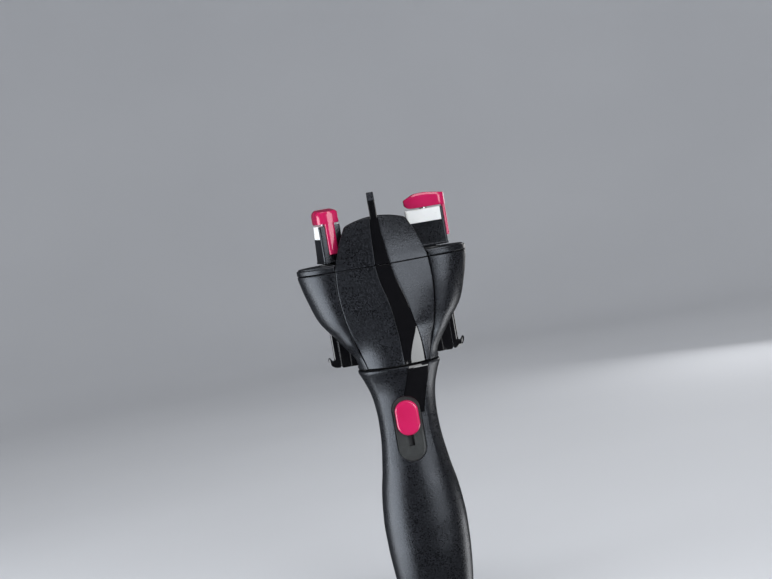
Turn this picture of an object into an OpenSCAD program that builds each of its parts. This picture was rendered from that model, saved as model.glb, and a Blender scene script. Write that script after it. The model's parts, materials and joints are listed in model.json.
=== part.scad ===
// Automatic hair braider: battery handle, turning head, two turning clip towers.
// Heights named z in the functions below are measured from the turning junction
// between handle and head; zj lifts them to the rest face of the handle.
// The front, with the slide switch, looks along -Y.

/* [Handle] */
// Height of the handle, from the rest face to the turning junction
handle_h = 130; // [129:0.5:134]
// Wall of the two handle shells
handle_wall = 2.3; // [2:0.1:2.4]
// Travel of the slide switch
switch_travel = 10; // [6:1:10]

/* [Head] */
// Wall of the petal covers
petal_t = 2; // [1.8:0.1:2.2]
// Groove between a petal cover and the wings
groove = 0.35; // [0.25:0.05:0.5]
// Distance of each tower's axis from the centre line
tower_x = 26; // [26:0.5:26]
// Radius scooped out of the core around each tower
scoop_r = 12.6; // [12.4:0.1:13]

/* [Towers] */
// Length of a tower's footprint
tower_len = 19.8; // [19:0.1:20]
// Width of a tower's footprint at its outer end
tower_wid = 11.5; // [10.8:0.1:12]
// Width of a tower's foot at its inner end
tower_nose = 9.4; // [8.6:0.1:10]
// Direction of the left tower's stem, from the side towards the front
left_turn = -73; // [-90:1:0]

/* [Gears] */
// Teeth of the centre gear in the head
sun_teeth = 28; // [28:1:28]
// Teeth of each tower gear
tower_teeth = 24; // [24:1:24]
// Thinning of each tooth, for running play
backlash = 0.1; // [0.08:0.01:0.15]

/* [Hidden] */
zj = handle_h;
q = 0.001;

black = [0.05, 0.05, 0.06];
gloss = [0.02, 0.02, 0.025];
pink = [0.78, 0.1, 0.33];
white = [0.93, 0.94, 0.94];
steel = [0.7, 0.71, 0.73];
brass = [0.8, 0.65, 0.3];
nylon = [0.86, 0.84, 0.78];

// ---------------------------------------------------------------- profiles
// [height above the junction, size]
t_wing = [[0,21.2],[4,22.4],[8,24.4],[12,26.6],[16,29.1],[20,31.9],[24,35.1],
  [30,38.3],[38,40.9],[46,43.1],[53,44.3],[60,44.3]];
t_petal = [[0,15.7],[6,17.3],[14,19.8],[22,21.8],[30,23.3],[42,24.3],[53,23.8],[60,21.9],
  [67,19.5],[74,16.2],[78,14.6]];
t_keel = [[0,20.8],[10,22.4],[20,23.8],[30,25],[42,25.6],[53,25.4],[60,24],[70,20.5],[78,17]];
t_edge = [[0,14.2],[10,16],[20,17.6],[30,18.8],[42,19.6],[53,19.4],[60,18],[70,15],[78,12]];
t_sl = [[0,3],[7,2.8],[14,2.6],[22,1.9],[29,1.1],[35,0],[41,-1.6],[47,-2.8],[53,-3.3],
  [60,-3.1],[70,-2.8],[78,-1.9]];
t_sr = [[0,14.5],[8,14],[14,13.2],[22,11.9],[28,10.7],[35,9],[42,6.9],[48,5.3],[55,4.2],
  [63,3.2],[70,2.3],[78,1.9]];
t_hw = [[-130,14],[-128.4,16.4],[-124,18.4],[-115,20],[-105,21],[-95,21.6],[-85,21.8],
  [-75,21.2],[-65,20],[-57,18.4],[-50,17.3],[-42,16.2],[-36,15.7],[-28,15.5],[-20,16],
  [-14,17],[-8,18.9],[-4,20.5],[-1.6,21.5],[-0.5,20.9]];
t_hd = [[-130,11.5],[-128.4,13.4],[-124,15],[-115,16.8],[-105,18],[-95,18.6],[-85,18.6],
  [-75,18.2],[-65,17.6],[-57,17],[-50,16.7],[-42,16.4],[-36,16.2],[-28,16.2],[-20,16.6],
  [-14,17.4],[-8,18.9],[-4,20.5],[-1.6,21.5],[-0.5,20.9]];

function wing(z) = lookup(z, t_wing);
function pet(z) = lookup(z, t_petal);
function sl(z) = lookup(z, t_sl);
function sr(z) = lookup(z, t_sr);
function kx(z) = lookup(z, [[0,5.3],[10,8.6],[21.5,12],[30,10.3],[42,6.9],[53,4.4],[63,3.2],[78,1.9]]);
function hw(z) = lookup(z, t_hw);
function hd(z) = lookup(z, t_hd);
function mix(a, b, t) = a + (b - a) * t;
function clamp(x) = min(1, max(0, x));
function rev(v) = [for (i = [len(v) - 1 : -1 : 0]) v[i]];

// Front surface of the head: two facets that meet on the strip, round at the junction
function ys(x, z) = let (k = kx(z), p = pet(z), kl = lookup(z, t_keel), e = lookup(z, t_edge),
    t = x < k ? (k - x) / (k + p) : (x - k) / (p - k),
    f = -(kl - (kl - e) * pow(clamp(t), 1.15)),
    c = -sqrt(max(0.1, 21.15 * 21.15 - x * x)))
  mix(c, f, clamp(z / 16));

// Half outline of the handle, a soft oblong: a = 0 left side, 90 front, 180 right side
function hsec(z, a, w) = [-(hw(z) - w) * sign(cos(a)) * pow(abs(cos(a)), 0.92),
  -(hd(z) - w) * pow(abs(sin(a)), 0.92)];
// Depth of the handle's outline at a given x
function hy(x, z, w) = -(hd(z) - w) * pow(max(0, 1 - pow(abs(x) / (hw(z) - w), 2.17)), 0.46);

// ---------------------------------------------------------------- lofts
function quad(a, b, c, d) = [[a, d, c], [a, c, b]];

// Solid between a front grid f[k][i] and a back grid b[k][i] of points
module slab(f, b) {
  n = len(f[0]); m = 2 * n; h = len(f);
  pts = [for (k = [0 : h - 1]) each concat(f[k], rev(b[k]))];
  walls = [for (k = [0 : h - 2]) for (i = [0 : m - 1])
    each quad(k * m + i, k * m + (i + 1) % m, (k + 1) * m + (i + 1) % m, (k + 1) * m + i)];
  low = [for (i = [0 : n - 2]) each [[i, i + 1, m - 2 - i], [i, m - 2 - i, m - 1 - i]]];
  t = (h - 1) * m;
  top = [for (i = [0 : n - 2]) each [[t + i, t + m - 2 - i, t + i + 1], [t + i, t + m - 1 - i, t + m - 2 - i]]];
  polyhedron(pts, concat(walls, low, top));
}

// Tube between outer rings o[k][i] and inner rings r[k][i]
module tube_loft(o, r) {
  n = len(o[0]); h = len(o); s = n * h;
  pts = concat([for (k = o) each k], [for (k = r) each k]);
  out = [for (k = [0 : h - 2]) for (i = [0 : n - 1])
    each quad(k * n + i, k * n + (i + 1) % n, (k + 1) * n + (i + 1) % n, (k + 1) * n + i)];
  inn = [for (k = [0 : h - 2]) for (i = [0 : n - 1]) let (a = s + k * n + i, b = s + k * n + (i + 1) % n,
    c = s + (k + 1) * n + (i + 1) % n, d = s + (k + 1) * n + i) each [[a, b, c], [a, c, d]]];
  low = [for (i = [0 : n - 1]) let (j = (i + 1) % n) each [[i, j, s + j], [i, s + j, s + i]]];
  t = (h - 1) * n;
  top = [for (i = [0 : n - 1]) let (j = (i + 1) % n) each [[t + i, s + t + j, t + j], [t + i, s + t + i, s + t + j]]];
  polyhedron(pts, concat(out, inn, low, top));
}

// Solid loft of convex rings with flat ends
module ring_loft(r) {
  n = len(r[0]); h = len(r); t = (h - 1) * n; s = n * h;
  mid = function(v) [for (j = [0 : 2]) [for (p = v) p[j]] * [for (p = v) 1] / len(v)];
  pts = concat([for (k = r) each k], [mid(r[0]), mid(r[h - 1])]);
  walls = [for (k = [0 : h - 2]) for (i = [0 : n - 1])
    each quad(k * n + i, k * n + (i + 1) % n, (k + 1) * n + (i + 1) % n, (k + 1) * n + i)];
  low = [for (i = [0 : n - 1]) [s, i, (i + 1) % n]];
  top = [for (i = [0 : n - 1]) [s + 1, t + (i + 1) % n, t + i]];
  polyhedron(pts, concat(walls, low, top));
}

module disc(r, z0, z1, hole = 0) {
  translate([0, 0, z0]) difference() {
    cylinder(r = r, h = z1 - z0, $fn = 64);
    if (hole > 0) translate([0, 0, -1]) cylinder(r = hole, h = z1 - z0 + 2, $fn = 64);
  }
}

module block(x0, x1, y0, y1, z0, z1) {
  translate([x0, y0, z0]) cube([x1 - x0, y1 - y0, z1 - z0]);
}

// ---------------------------------------------------------------- gears
function inv(a) = tan(a) * 180 / PI - a;
// Outline of a spur gear; thin is the play taken from each tooth on the pitch circle
function gear(m, n, add, ded, thin) = let (rp = m * n / 2, rb = rp * cos(20), ra = rp + add, rr = rp - ded,
    half = 90 / n - thin / rp * 90 / PI, top = acos(rb / ra), lowr = max(rr, rb + q),
    a0 = acos(rb / lowr), k = 5,
    flank = [for (i = [0 : k]) let (r = mix(lowr, ra, i / k), a = acos(min(1, rb / r))) [r, half + inv(20) - inv(a)]],
    tooth = concat(rr < rb ? [[rr, flank[0][1]]] : [], flank))
  [for (t = [0 : n - 1]) each concat([for (p = tooth) [p[0] * cos(t * 360 / n - p[1]), p[0] * sin(t * 360 / n - p[1])]],
    [for (p = rev(tooth)) [p[0] * cos(t * 360 / n + p[1]), p[0] * sin(t * 360 / n + p[1])]])];

module spur(m, n, add, ded, thin, bore, z0, z1) {
  translate([0, 0, z0]) linear_extrude(z1 - z0) difference() {
    polygon(gear(m, n, add, ded, thin));
    circle(r = bore, $fn = 48);
  }
}

// ---------------------------------------------------------------- handle
h_low = [-130, -128.4, -127.3, -127.2, -124, -115, -105, -95, -85, -75, -65, -57, -50, -42, -36, -28, -26, -25.85,
  -24, -20, -16, -14, -10, -8, -4, -1.6, -0.5];
function inl(z) = lookup(z, [[-26, 5.2], [-24, 3.6], [-20, 1.6], [-16, -0.3], [-10, 1.7], [-4, 3.4], [0, 4.4]]);
function inr(z) = lookup(z, [[-26, 9], [-24, 9.2], [-20, 10.2], [-14, 11.8], [-8, 13.6], [-3, 14.9], [0, 15.2]]);
function chan(z) = z > -25.9 ? 1 : 0;
function hcols(z) = let (w = hw(z)) concat(
  [for (a = [0, 12, 26, 42, 58]) [-w * pow(cos(a), 0.92), 0]],
  [for (t = [0, 0.5, 1]) [mix(-6, inl(z), t), 0]], [for (t = [0, 0.5, 1]) [mix(inl(z) + 0.04, inr(z) - 0.04, t), chan(z)]],
  [for (t = [0, 0.25, 0.5, 0.7, 0.86, 0.96, 1]) [mix(inr(z), w, t), 0]]);

module half_shell(front) {
  as = [0 : 10 : 180];
  path = function(z, w) front ? [for (c = hcols(z)) let (x = c[0] * (hw(z) - w) / hw(z))
      [x, min(-0.03, hy(x, z, w) + (w > 0 ? 0 : c[1])), z]]
    : [for (a = as) let (p = hsec(z, a, w)) [p[0], min(-0.03, p[1]), z]];
  f = [for (z = h_low) path(z, 0)];
  b = [for (z = h_low) z < -127.25 ? [for (p = path(z, 0)) [p[0] * 0.98, -0.03, z]] : path(z, handle_wall)];
  translate([0, 0, zj]) rotate([0, 0, front ? 0 : 180]) slab(f, b);
}

module stadium(w, z0, z1, y0, y1) {
  r = w / 2;
  translate([0, y1, 0]) rotate([90, 0, 0]) linear_extrude(y1 - y0) union() {
    translate([0, z1 - r]) circle(r = r, $fn = 48);
    translate([0, z0 + r]) circle(r = r, $fn = 48);
    translate([-r, z0 + r]) square([w, z1 - z0 - w]);
  }
}

module handle_front_shell() {
  color(black) difference() {
    union() {
      half_shell(true);
      for (s = [-1, 1]) translate([s * 9, -0.1, zj - 62]) rotate([90, 0, 0]) cylinder(r = 3, h = 14.4, $fn = 48);
    }
    translate([-0.3, 0, zj]) stadium(14.4, -50, -15.6, -22, -10);
    for (s = [-1, 1]) translate([s * 9, 0, zj - 62]) rotate([90, 0, 0]) cylinder(r = 1.3, h = 12, $fn = 48);
  }
}

module handle_rear_shell() {
  color(black) difference() {
    union() {
      half_shell(false);
      for (s = [-1, 1]) translate([s * 9, 0.1, zj - 62]) rotate([-90, 0, 0]) cylinder(r = 3, h = 14.4, $fn = 48);
    }
    block(-12.2, 12.2, 8, 24, zj - 124.2, zj - 71.8);
    for (s = [-1, 1]) translate([s * 9, -1, zj - 62]) rotate([-90, 0, 0]) cylinder(r = 1.5, h = 20, $fn = 48);
    for (s = [-1, 1]) translate([s * 9, 11, zj - 62]) rotate([-90, 0, 0]) cylinder(r = 2.6, h = 10, $fn = 48);
  }
}

module handle_gloss_inlay() {
  zs = [-25.7, -24, -22, -20, -18, -16, -14, -12, -10, -8, -6, -4, -1.8, -0.8];
  row = function(z, d) [for (t = [0 : 0.25 : 1]) let (x = mix(inl(z) + 0.14, inr(z) - 0.14, t)) [x, hy(x, z, 0) + d, z]];
  color(gloss) difference() {
    translate([0, 0, zj]) slab([for (z = zs) row(z, 0.1)], [for (z = zs) row(z, 0.9)]);
    translate([-0.3, 0, zj]) stadium(14.4, -50, -15.6, -22, -10);
  }
}

module switch_tray() {
  color([0.12, 0.12, 0.13]) difference() {
    translate([-0.3, 0, zj]) stadium(14.3, -49.95, -15.65, -14.6, -13.4);
    block(-1.9, 1.3, -16, -10, zj - 42.2, zj - 25);
  }
}

module switch_button() {
  w = 12; z0 = -36.4; z1 = -18.4;
  zs = [for (i = [0 : 12]) mix(z0, z1, i / 12)];
  hwid = function(z) let (a = min(z - z0, z1 - z), r = 5.2) a < r ? w / 2 - r + sqrt(max(0.2, r * r - pow(r - a, 2))) : w / 2;
  crown = function(x, z) -17.35 + 0.012 * x * x + 0.9 * pow(clamp((abs(z + 27.4) - 6.2) / 3), 2);
  row = function(z) [for (t = [-1, -0.85, -0.5, 0, 0.5, 0.85, 1]) let (x = t * hwid(z)) [x - 0.3, crown(x, z) + (abs(t) == 1 ? 0.5 : 0), z]];
  back = function(z) [for (t = [-1, -0.85, -0.5, 0, 0.5, 0.85, 1]) [t * hwid(z) - 0.3, -14.9, z]];
  color(pink) union() {
    translate([0, 0, zj]) slab([for (z = zs) row(z)], [for (z = zs) back(z)]);
    block(-1.6, 1, -15.2, -11.9, zj - 31, zj - 26);
  }
}

module circuit_board() {
  color([0.1, 0.35, 0.2]) block(-8, 8, -9.3, -8.1, zj - 53, zj - 24);
}

module slide_switch() {
  color([0.25, 0.25, 0.27]) difference() {
    block(-5, 4.4, -12.3, -9.35, zj - 45, zj - 24.4);
    block(-2, 1.4, -13, -11.7, zj - 43, zj - 25);
  }
}

module battery_cover() {
  zs = [-124, -118, -112, -106, -100, -94, -88, -82, -76, -72];
  row = function(z, d) [for (t = [-1 : 0.2 : 1]) let (x = -12 * t) [x, -hy(x, z, 0) - d, z]];
  color(black) union() {
    translate([0, 0, zj]) slab([for (z = zs) row(z, 0.02)], [for (z = zs) row(z, 2)]);
    for (k = [0 : 4]) block(-5, 5, 18, 19, zj - 82 - 2 * k, zj - 81 - 2 * k);
  }
}

module battery_cells() {
  color([0.35, 0.36, 0.4]) for (s = [-1, 1]) translate([s * 7.4, 0.3, zj - 126]) rotate([s < 0 ? 0 : 0, 0, 0]) {
    cylinder(r = 7.2, h = 49.4, $fn = 64);
    translate([0, 0, 49.4]) cylinder(r = 2.7, h = 1, $fn = 48);
  }
}

module battery_contacts() {
  color(steel) {
    block(-13, 13, -4, 4.6, zj - 127, zj - 126.1);
    for (s = [-1, 1]) block(s * 7.4 - 4, s * 7.4 + 4, -4, 4.6, zj - 75.5, zj - 74.7);
  }
}

module battery_bulkhead() {
  color([0.15, 0.15, 0.16]) translate([0, 0, zj - 74.6]) linear_extrude(1.6)
    polygon([for (a = [0 : 12 : 348]) [17.6 * cos(a), 15 * sin(a)]]);
}

module handle_screws() {
  color(steel) for (s = [-1, 1]) translate([s * 9, 13, zj - 62]) rotate([90, 0, 0]) union() {
    translate([0, 0, 0.2]) cylinder(r = 1.25, h = 22, $fn = 48);
    difference() {
      translate([0, 0, 0.3]) cylinder(r = 2.4, h = 1.6, $fn = 48);
      translate([-2, -0.3, -1]) cube([4, 0.6, 1.8]);
      translate([-0.3, -2, -1]) cube([0.6, 4, 1.8]);
    }
  }
}

module motor_can() {
  color(steel) translate([0, 0, zj]) difference() {
    union() {
      intersection() {
        disc(10, -48, -23);
        block(-12, 12, -7.7, 7.7, -60, 0);
      }
      disc(3, -23, -21.6);
      disc(3, -50, -48);
    }
    disc(6.9, -46.6, -24.2);
    disc(1.06, -60, 0);
  }
}

module motor_rotor() {
  color(steel) translate([0, 0, zj]) union() {
    disc(1, -51, -14.4);
    difference() {
      disc(6.4, -42, -28);
      for (a = [0 : 120 : 240]) rotate([0, 0, a + 60]) translate([5.6, 0, -43]) cylinder(r = 1.6, h = 16, $fn = 32);
    }
    disc(2.6, -46, -43);
  }
}

module motor_pinion() {
  color(brass) translate([0, 0, zj]) spur(0.5, 12, 0.4, 0.6, 0.07, 1.01, -18.8, -14.4);
}

module ring_gear_housing() {
  color(nylon) translate([0, 0, zj]) union() {
    translate([0, 0, -19.6]) linear_extrude(7.3) difference() {
      circle(r = 13.3, $fn = 96);
      rotate([0, 0, 3.75]) polygon(gear(0.5, 48, 0.62, 0.4, -0.07));
    }
    disc(13.3, -21.2, -19.6, 3.1);
  }
}

module gearbox_cover() {
  color(nylon) translate([0, 0, zj]) disc(13.3, -12.2, -11, 2.56);
}

module planet(i) {
  color(nylon) rotate([0, 0, i * 120]) translate([7.5, 0, zj]) rotate([0, 0, 10])
    spur(0.5, 18, 0.4, 0.6, 0.07, 0.95, -18.8, -14.2);
}
module planet_gear_1() { planet(0); }
module planet_gear_2() { planet(1); }
module planet_gear_3() { planet(2); }

module planet_carrier() {
  color(steel) translate([0, 0, zj]) union() {
    disc(9.4, -13.9, -12.4);
    for (i = [0 : 2]) rotate([0, 0, i * 120]) translate([7.5, 0, 0]) disc(0.9, -19.2, -13.8);
    disc(2.5, -12.6, -1.8);
  }
}

module slip_clutch_driver() {
  color(brass) translate([0, 0, zj]) union() {
    disc(5.6, -1.7, -0.2);
    disc(3.6, -4.6, -1.7, 2.52);
  }
}

module neck_bearing() {
  color([0.12, 0.12, 0.13]) translate([0, 0, zj]) union() {
    disc(15.9, -4.6, -1.6, 11.58);
    disc(17.4, -1.6, -0.8, 11.58);
  }
}

module one_way_clutch_ring() {
  color(steel) translate([0, 0, zj]) disc(15.9, -8.1, -4.7, 13);
}

module clutch_rollers() {
  color(steel) for (a = [0 : 60 : 300]) rotate([0, 0, a]) translate([12.22, 0, zj]) disc(0.66, -7.8, -5);
}

module head_hub() {
  color([0.12, 0.12, 0.13]) translate([0, 0, zj]) difference() {
    union() {
      disc(11.5, -10.2, 0.4);
      disc(14.2, 0.3, 2.85);
      disc(16.6, 2.85, 4.85);
    }
    disc(6.4, -12, 2.7);
    disc(2.55, 0, 10);
    disc(14, -9.3, -8.3, 10.6);
    for (a = [30 : 120 : 270]) rotate([0, 0, a]) translate([15.35, 0, 0]) disc(0.95, 2.8, 6);
  }
}

module hub_retaining_clip() {
  color(steel) translate([0, 0, zj]) difference() {
    disc(12.9, -9.2, -8.4, 10.65);
    block(-2, 2, 8, 16, -10, -8);
  }
}

// ---------------------------------------------------------------- head
cup_z = [0.3, 3, 6, 10, 14, 18, 21, 24, 30, 38, 46, 52.6];
function fs(z) = let (k = kx(z) / pet(z)) [-1, -0.5, 0, k, (1 + k) / 2, 1];

// One side arc of the wings, g = wall taken off
function arc(z, g, s) = let (p = pet(z) + groove - 0.8 * g, e = lookup(z, t_edge) - 0.6 - g, w = wing(z) - g, b = clamp(z / 12),
    r = 21.15 - g, a = acos(min(1, p / r)))
  [for (f = [-90 : 15 : 90]) [s * mix(r * cos(a * f / 90), p + (w - p) * cos(f), b), s * mix(r * sin(a * f / 90), e * sin(f), b)]];
// Ring round the head behind the petals, zy is the height that its depth is taken from
function front_path(z, g, zy) = let (p = pet(z) + groove - 0.8 * g) [for (f = fs(zy)) [f * p, ys(f * pet(zy), zy) + petal_t + 0.65 + 0.44 * g]];
function head_ring(z, g, zy) = let (fr = front_path(z, g, zy)) concat(arc(z, g, 1), [for (p = fr) [-p[0], -p[1]]], arc(z, g, -1), fr);
function lift(v, z) = [for (p = v) [p[0], p[1], z]];

module head_lower_cup() {
  color(black) difference() {
    translate([0, 0, zj]) union() {
      tube_loft([for (z = cup_z) lift(head_ring(z, 0, z), z)], [for (z = cup_z) lift(head_ring(z, 2.2, z), z)]);
      intersection() {
        disc(19.6, 0.35, 2.8, 14.3);
        linear_extrude(6, center = true) polygon(head_ring(2.8, 1.3, 2.8));
      }
      for (s = [-1, 1]) {
        translate([0, s * 17.2, 0]) disc(2.6, 22, 35.9);
        block(-1, 1, s < 0 ? -20.7 : 18, s < 0 ? -18 : 20.7, 28.5, 35.5);
      }
    }
    for (s = [-1, 1]) translate([0, s * 17.2, zj]) disc(1.3, 24, 40);
    for (a = [30 : 120 : 270]) rotate([0, 0, a]) translate([15.35, 0, zj]) disc(0.85, -2, 8);
    for (s = [-1, 1]) block(s < 0 ? -34.3 : 19.4, s < 0 ? -19.4 : 34.3, -5.2, 5.2, zj + 1.6, zj + 25.2);
  }
}

// Crease inside the strip
function fold(z) = min(kx(z), sr(z) - 0.34);
// Columns across a petal: [x, depth of the strip's channel]
function cols(z) = let (p = pet(z)) concat([for (t = [0, 0.35, 0.7, 1]) [mix(-p, sl(z), t), 0]],
  [for (x = [sl(z) + 0.04, (sl(z) + fold(z)) / 2, fold(z), sr(z) - 0.04]) [x, 1.2]], [for (t = [0, 0.5, 1]) [mix(sr(z), p, t), 0]]);
function dome(x) = 77.3 - 0.012 * x * x;

module petal(zs, top) {
  zz = function(z, c) (top && z > 76) ? (c[1] > 0 ? 76.4 : dome(c[0])) : z;
  f = [for (z = zs) [for (c = cols(z)) [c[0], ys(c[0], z) + c[1], zz(z, c)]]];
  b = [for (z = zs) [for (c = cols(z)) [c[0], ys(c[0], z) + petal_t, zz(z, c)]]];
  color(black) translate([0, 0, zj]) slab(f, b);
}
low_z = [0.5, 4, 8, 12, 16, 20, 24, 30, 36, 42, 48, 52.6];
up_z = [53, 57, 61, 65, 69, 73, 76.6];
module front_petal_lower() { petal(low_z, false); }
module rear_petal_lower() { rotate([0, 0, 180]) petal(low_z, false); }
module front_petal_upper() { petal(up_z, true); }
module rear_petal_upper() { rotate([0, 0, 180]) petal(up_z, true); }

module strip(zs) {
  row = function(z, d) [for (x = [sl(z) + 0.14, (sl(z) + fold(z)) / 2, fold(z), sr(z) - 0.14]) [x, ys(x, z) + d, z]];
  translate([0, 0, zj]) slab([for (z = zs) row(z, 0.3)], [for (z = zs) row(z, 1.02)]);
}
module front_gloss_strip() { color(gloss) strip(low_z); }
module rear_gloss_strip() { color(gloss) rotate([0, 0, 180]) strip(low_z); }

module divider_fin() {
  zs = [53, 57, 61, 65, 69, 73, 77.6];
  side = [[76.5, 17.3], [80, 16.9], [85.6, 16.2], [89.9, 14.6]];
  color(gloss) union() {
    strip(zs);
    rotate([0, 0, 180]) strip(zs);
    translate([0, 0, zj]) ring_loft([for (p = side) let (w = p[0] > 89 ? 1.75 : 1.9)
      [for (c = [[1, -1], [1, 1], [-1, 1], [-1, -1]]) [c[0] * w, c[1] * p[1], p[0]]]]);
  }
}

// Deck, rim and the core between the towers, with four screw posts and the shaft's top boss
module head_upper_cover() {
  core = [56, 57, 61, 65, 69, 72, 76.6];
  ring = function(z) let (p = pet(z) - 0.3,
      fr = [for (f = [-1, -0.66, -0.33, 0, 0.33, 0.66, 1]) [f * p, ys(f * p, z) + petal_t + 0.65, z > 76 ? dome(f * p) - 0.9 : z]])
    concat(fr, [for (v = fr) [-v[0], -v[1], v[2]]]);
  color(black) difference() {
    union() {
      translate([0, 0, zj + 52.95]) linear_extrude(2.5) polygon(head_ring(53, 0, 56.3));
      translate([0, 0, zj + 55.4]) linear_extrude(0.8) polygon(head_ring(53, 0.8, 56.3));
      difference() {
        translate([0, 0, zj]) ring_loft([for (z = core) ring(z)]);
        for (s = [-1, 1]) translate([s * tower_x, 0, zj + 56.2]) cylinder(r = scoop_r, h = 30, $fn = 96);
      }
      for (x = [-11, 11]) for (y = [-14.5, 14.5]) translate([x, y, zj]) disc(2.8, 38.6, 53.2);
      translate([0, 0, zj]) disc(5, 48.2, 53.2);
    }
    for (s = [-1, 1]) translate([s * tower_x, 0, zj]) disc(5, 50, 60);
    for (x = [-11, 11]) for (y = [-14.5, 14.5]) translate([x, y, zj]) disc(1.3, 30, 50);
    translate([0, 0, zj]) disc(2.56, 40, 52.2);
  }
}

module gear_chassis() {
  color([0.2, 0.2, 0.22]) translate([0, 0, zj]) difference() {
    union() {
      block(-32.5, 32.5, -8, 8, 36, 38.5);
      block(-13, 13, -15.5, 15.5, 36, 38.5);
      for (x = [-11, 11]) for (y = [-14.5, 14.5]) translate([x, y, 0]) disc(3, 36, 38.5);
      for (s = [-1, 1]) translate([0, s * 17.2, 0]) disc(2.6, 36, 38.5);
      disc(4.6, 33.6, 40.6);
    }
    disc(2.56, 30, 45);
    for (s = [-1, 1]) translate([s * tower_x, 0, 0]) disc(4.08, 30, 45);
    for (x = [-11, 11]) for (y = [-14.5, 14.5]) translate([x, y, 0]) disc(1.5, 30, 45);
    for (s = [-1, 1]) translate([0, s * 17.2, 0]) disc(1.5, 30, 45);
  }
}

module screw(l) {
  union() {
    cylinder(r = 1.25, h = l, $fn = 48);
    translate([0, 0, -1.5]) cylinder(r = 2.3, h = 1.5, $fn = 48);
  }
}
module head_screws() {
  color(steel) translate([0, 0, zj]) {
    for (x = [-11, 11]) for (y = [-14.5, 14.5]) translate([x, y, 35.95]) screw(11);
    for (s = [-1, 1]) translate([0, s * 17.2, 38.55]) rotate([180, 0, 0]) screw(11);
    for (a = [30 : 120 : 270]) rotate([0, 0, a]) translate([15.35, 0, 4.9]) rotate([180, 0, 0]) union() {
      cylinder(r = 0.8, h = 4, $fn = 48);
      translate([0, 0, -1]) cylinder(r = 1.15, h = 1, $fn = 48);
    }
  }
}

module spindle_bushes() {
  color([0.2, 0.2, 0.22]) for (s = [-1, 1]) translate([s * tower_x, 0, zj]) union() {
    disc(4.95, 52.4, 56.3, 4.08);
    disc(5.9, 56.25, 56.8, 4.08);
  }
}

module drive_shaft() {
  color(steel) translate([0, 0, zj]) union() {
    disc(2.5, 0.2, 51.9);
    disc(5.6, 0, 1.6);
  }
}

module sun_gear() {
  color(nylon) translate([0, 0, zj]) spur(1, sun_teeth, 0.95, 1.2, backlash, 2.51, 41, 46);
}

// Fixed housing of one lift rod, under a wing
// Half plan of a piece, square at x0 and rounded by r at its outer end x1
function round_end(s, x0, x1, h, r) = concat([[s * x0, -h]],
  [for (i = [0 : 5]) [s * (x1 - r + r * sin(18 * i)), r - h - r * cos(18 * i)]],
  [for (i = [5 : -1 : 0]) [s * (x1 - r + r * sin(18 * i)), h - r + r * cos(18 * i)]], [[s * x0, h]]);
module rounded(s, out, x1, h, r) {
  intersection() {
    translate([0, h, zj]) rotate([90, 0, 0]) linear_extrude(2 * h) polygon([for (p = out) [s * p[0], p[1]]]);
    translate([0, 0, zj]) linear_extrude(30) polygon(round_end(s, 19.5, x1, h, r));
  }
}

module stub_housing(s) {
  out = [[19.6, 2.6], [28.6, 2.6], [29.5, 3.6], [29.5, 22], [19.6, 22]];
  color(gloss) difference() {
    rounded(s, out, 29.5, 5, 1.4);
    translate([s * tower_x, 0, zj]) disc(2.06, 8, 30);
    for (a = [-1, 1]) translate([0, a * 5.6, 0]) block(s < 0 ? -30 : 24, s < 0 ? -24 : 30, -1, 1, zj + 2, zj + 24);
  }
}
module stub_housing_left() { stub_housing(-1); }
module stub_housing_right() { stub_housing(1); }

// Lever with a foot lip; lifts the flange of the rod
module pusher(s) {
  foot = [[29.8, 2.9], [31.2, 2.9], [33, 3.4], [34.6, 4.5], [35.5, 6], [35.8, 8], [34.7, 7.8], [34, 6.4], [33.2, 6.2],
    [32.7, 7.2], [29.8, 7.2]];
  bar = [[29.8, 7.1], [32.7, 7.1], [32.7, 24.5], [22.5, 24.5], [22.5, 22.6], [29.8, 22.6]];
  color(gloss) difference() {
    union() {
      rounded(s, foot, 35.9, 4.2, 2);
      rounded(s, bar, 32.7, 4.2, 1.3);
    }
    translate([s * tower_x, 0, zj]) disc(2.4, 20, 30);
  }
}
module pusher_left() { pusher(-1); }
module pusher_right() { pusher(1); }

// ---------------------------------------------------------------- towers
// Plan of a tower, narrower towards its inner end and more so higher up
function plan(g, z = 58.5) = let (l = tower_len / 2 - g, w = tower_wid / 2 - g, n = tower_nose / 2 - 0.052 * (z - 58.5) - g, r = 1.1 - g / 2, m = 1.6 - g / 2,
    t = atan((w - n) / (2 * l - r - m)))
  [for (c = [[l - r, w - r, r, 0, 90 + t], [m - l, n - m, m, 90 + t, 180], [m - l, m - n, m, 180, 270 - t], [l - r, r - w, r, 270 - t, 360]])
    for (i = [0 : 5]) let (a = mix(c[3], c[4], i / 5)) [c[0] + c[2] * cos(a), c[1] + c[2] * sin(a)]];

module at_tower(s) {
  translate([s * tower_x, 0, zj]) rotate([0, 0, s < 0 ? left_turn : 0]) children();
}

module tower(s) {
  color(black) at_tower(s) difference() {
    union() {
      translate([0, 0, 57.3]) linear_extrude(1.2) polygon(plan(-0.25));
      ring_loft([for (z = [58.5, 70]) lift(plan(0, z), z)]);
      intersection() {
        translate([0, 0, 60]) linear_extrude(16.6) polygon(plan(0));
        block(tower_len / 2 - 1.4, 14, -8, 8, 69, 80);
      }
      disc(4, 33, 57.3);
    }
    disc(2.08, 30, 80);
    block(tower_len / 2 - 0.8, 14, -2.65, 2.65, 60.9, 80);
  }
}
module tower_left() { tower(-1); }
module tower_right() { tower(1); }

module pad(s) {
  color(white) at_tower(s) difference() {
    ring_loft([for (z = [70.02, 77]) lift(plan(0.15, z), z)]);
    disc(2.3, 60, 90);
    block(tower_len / 2 - 1.5, 14, -8, 8, 60, 80);
  }
}
module pad_left() { pad(-1); }
module pad_right() { pad(1); }

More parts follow.
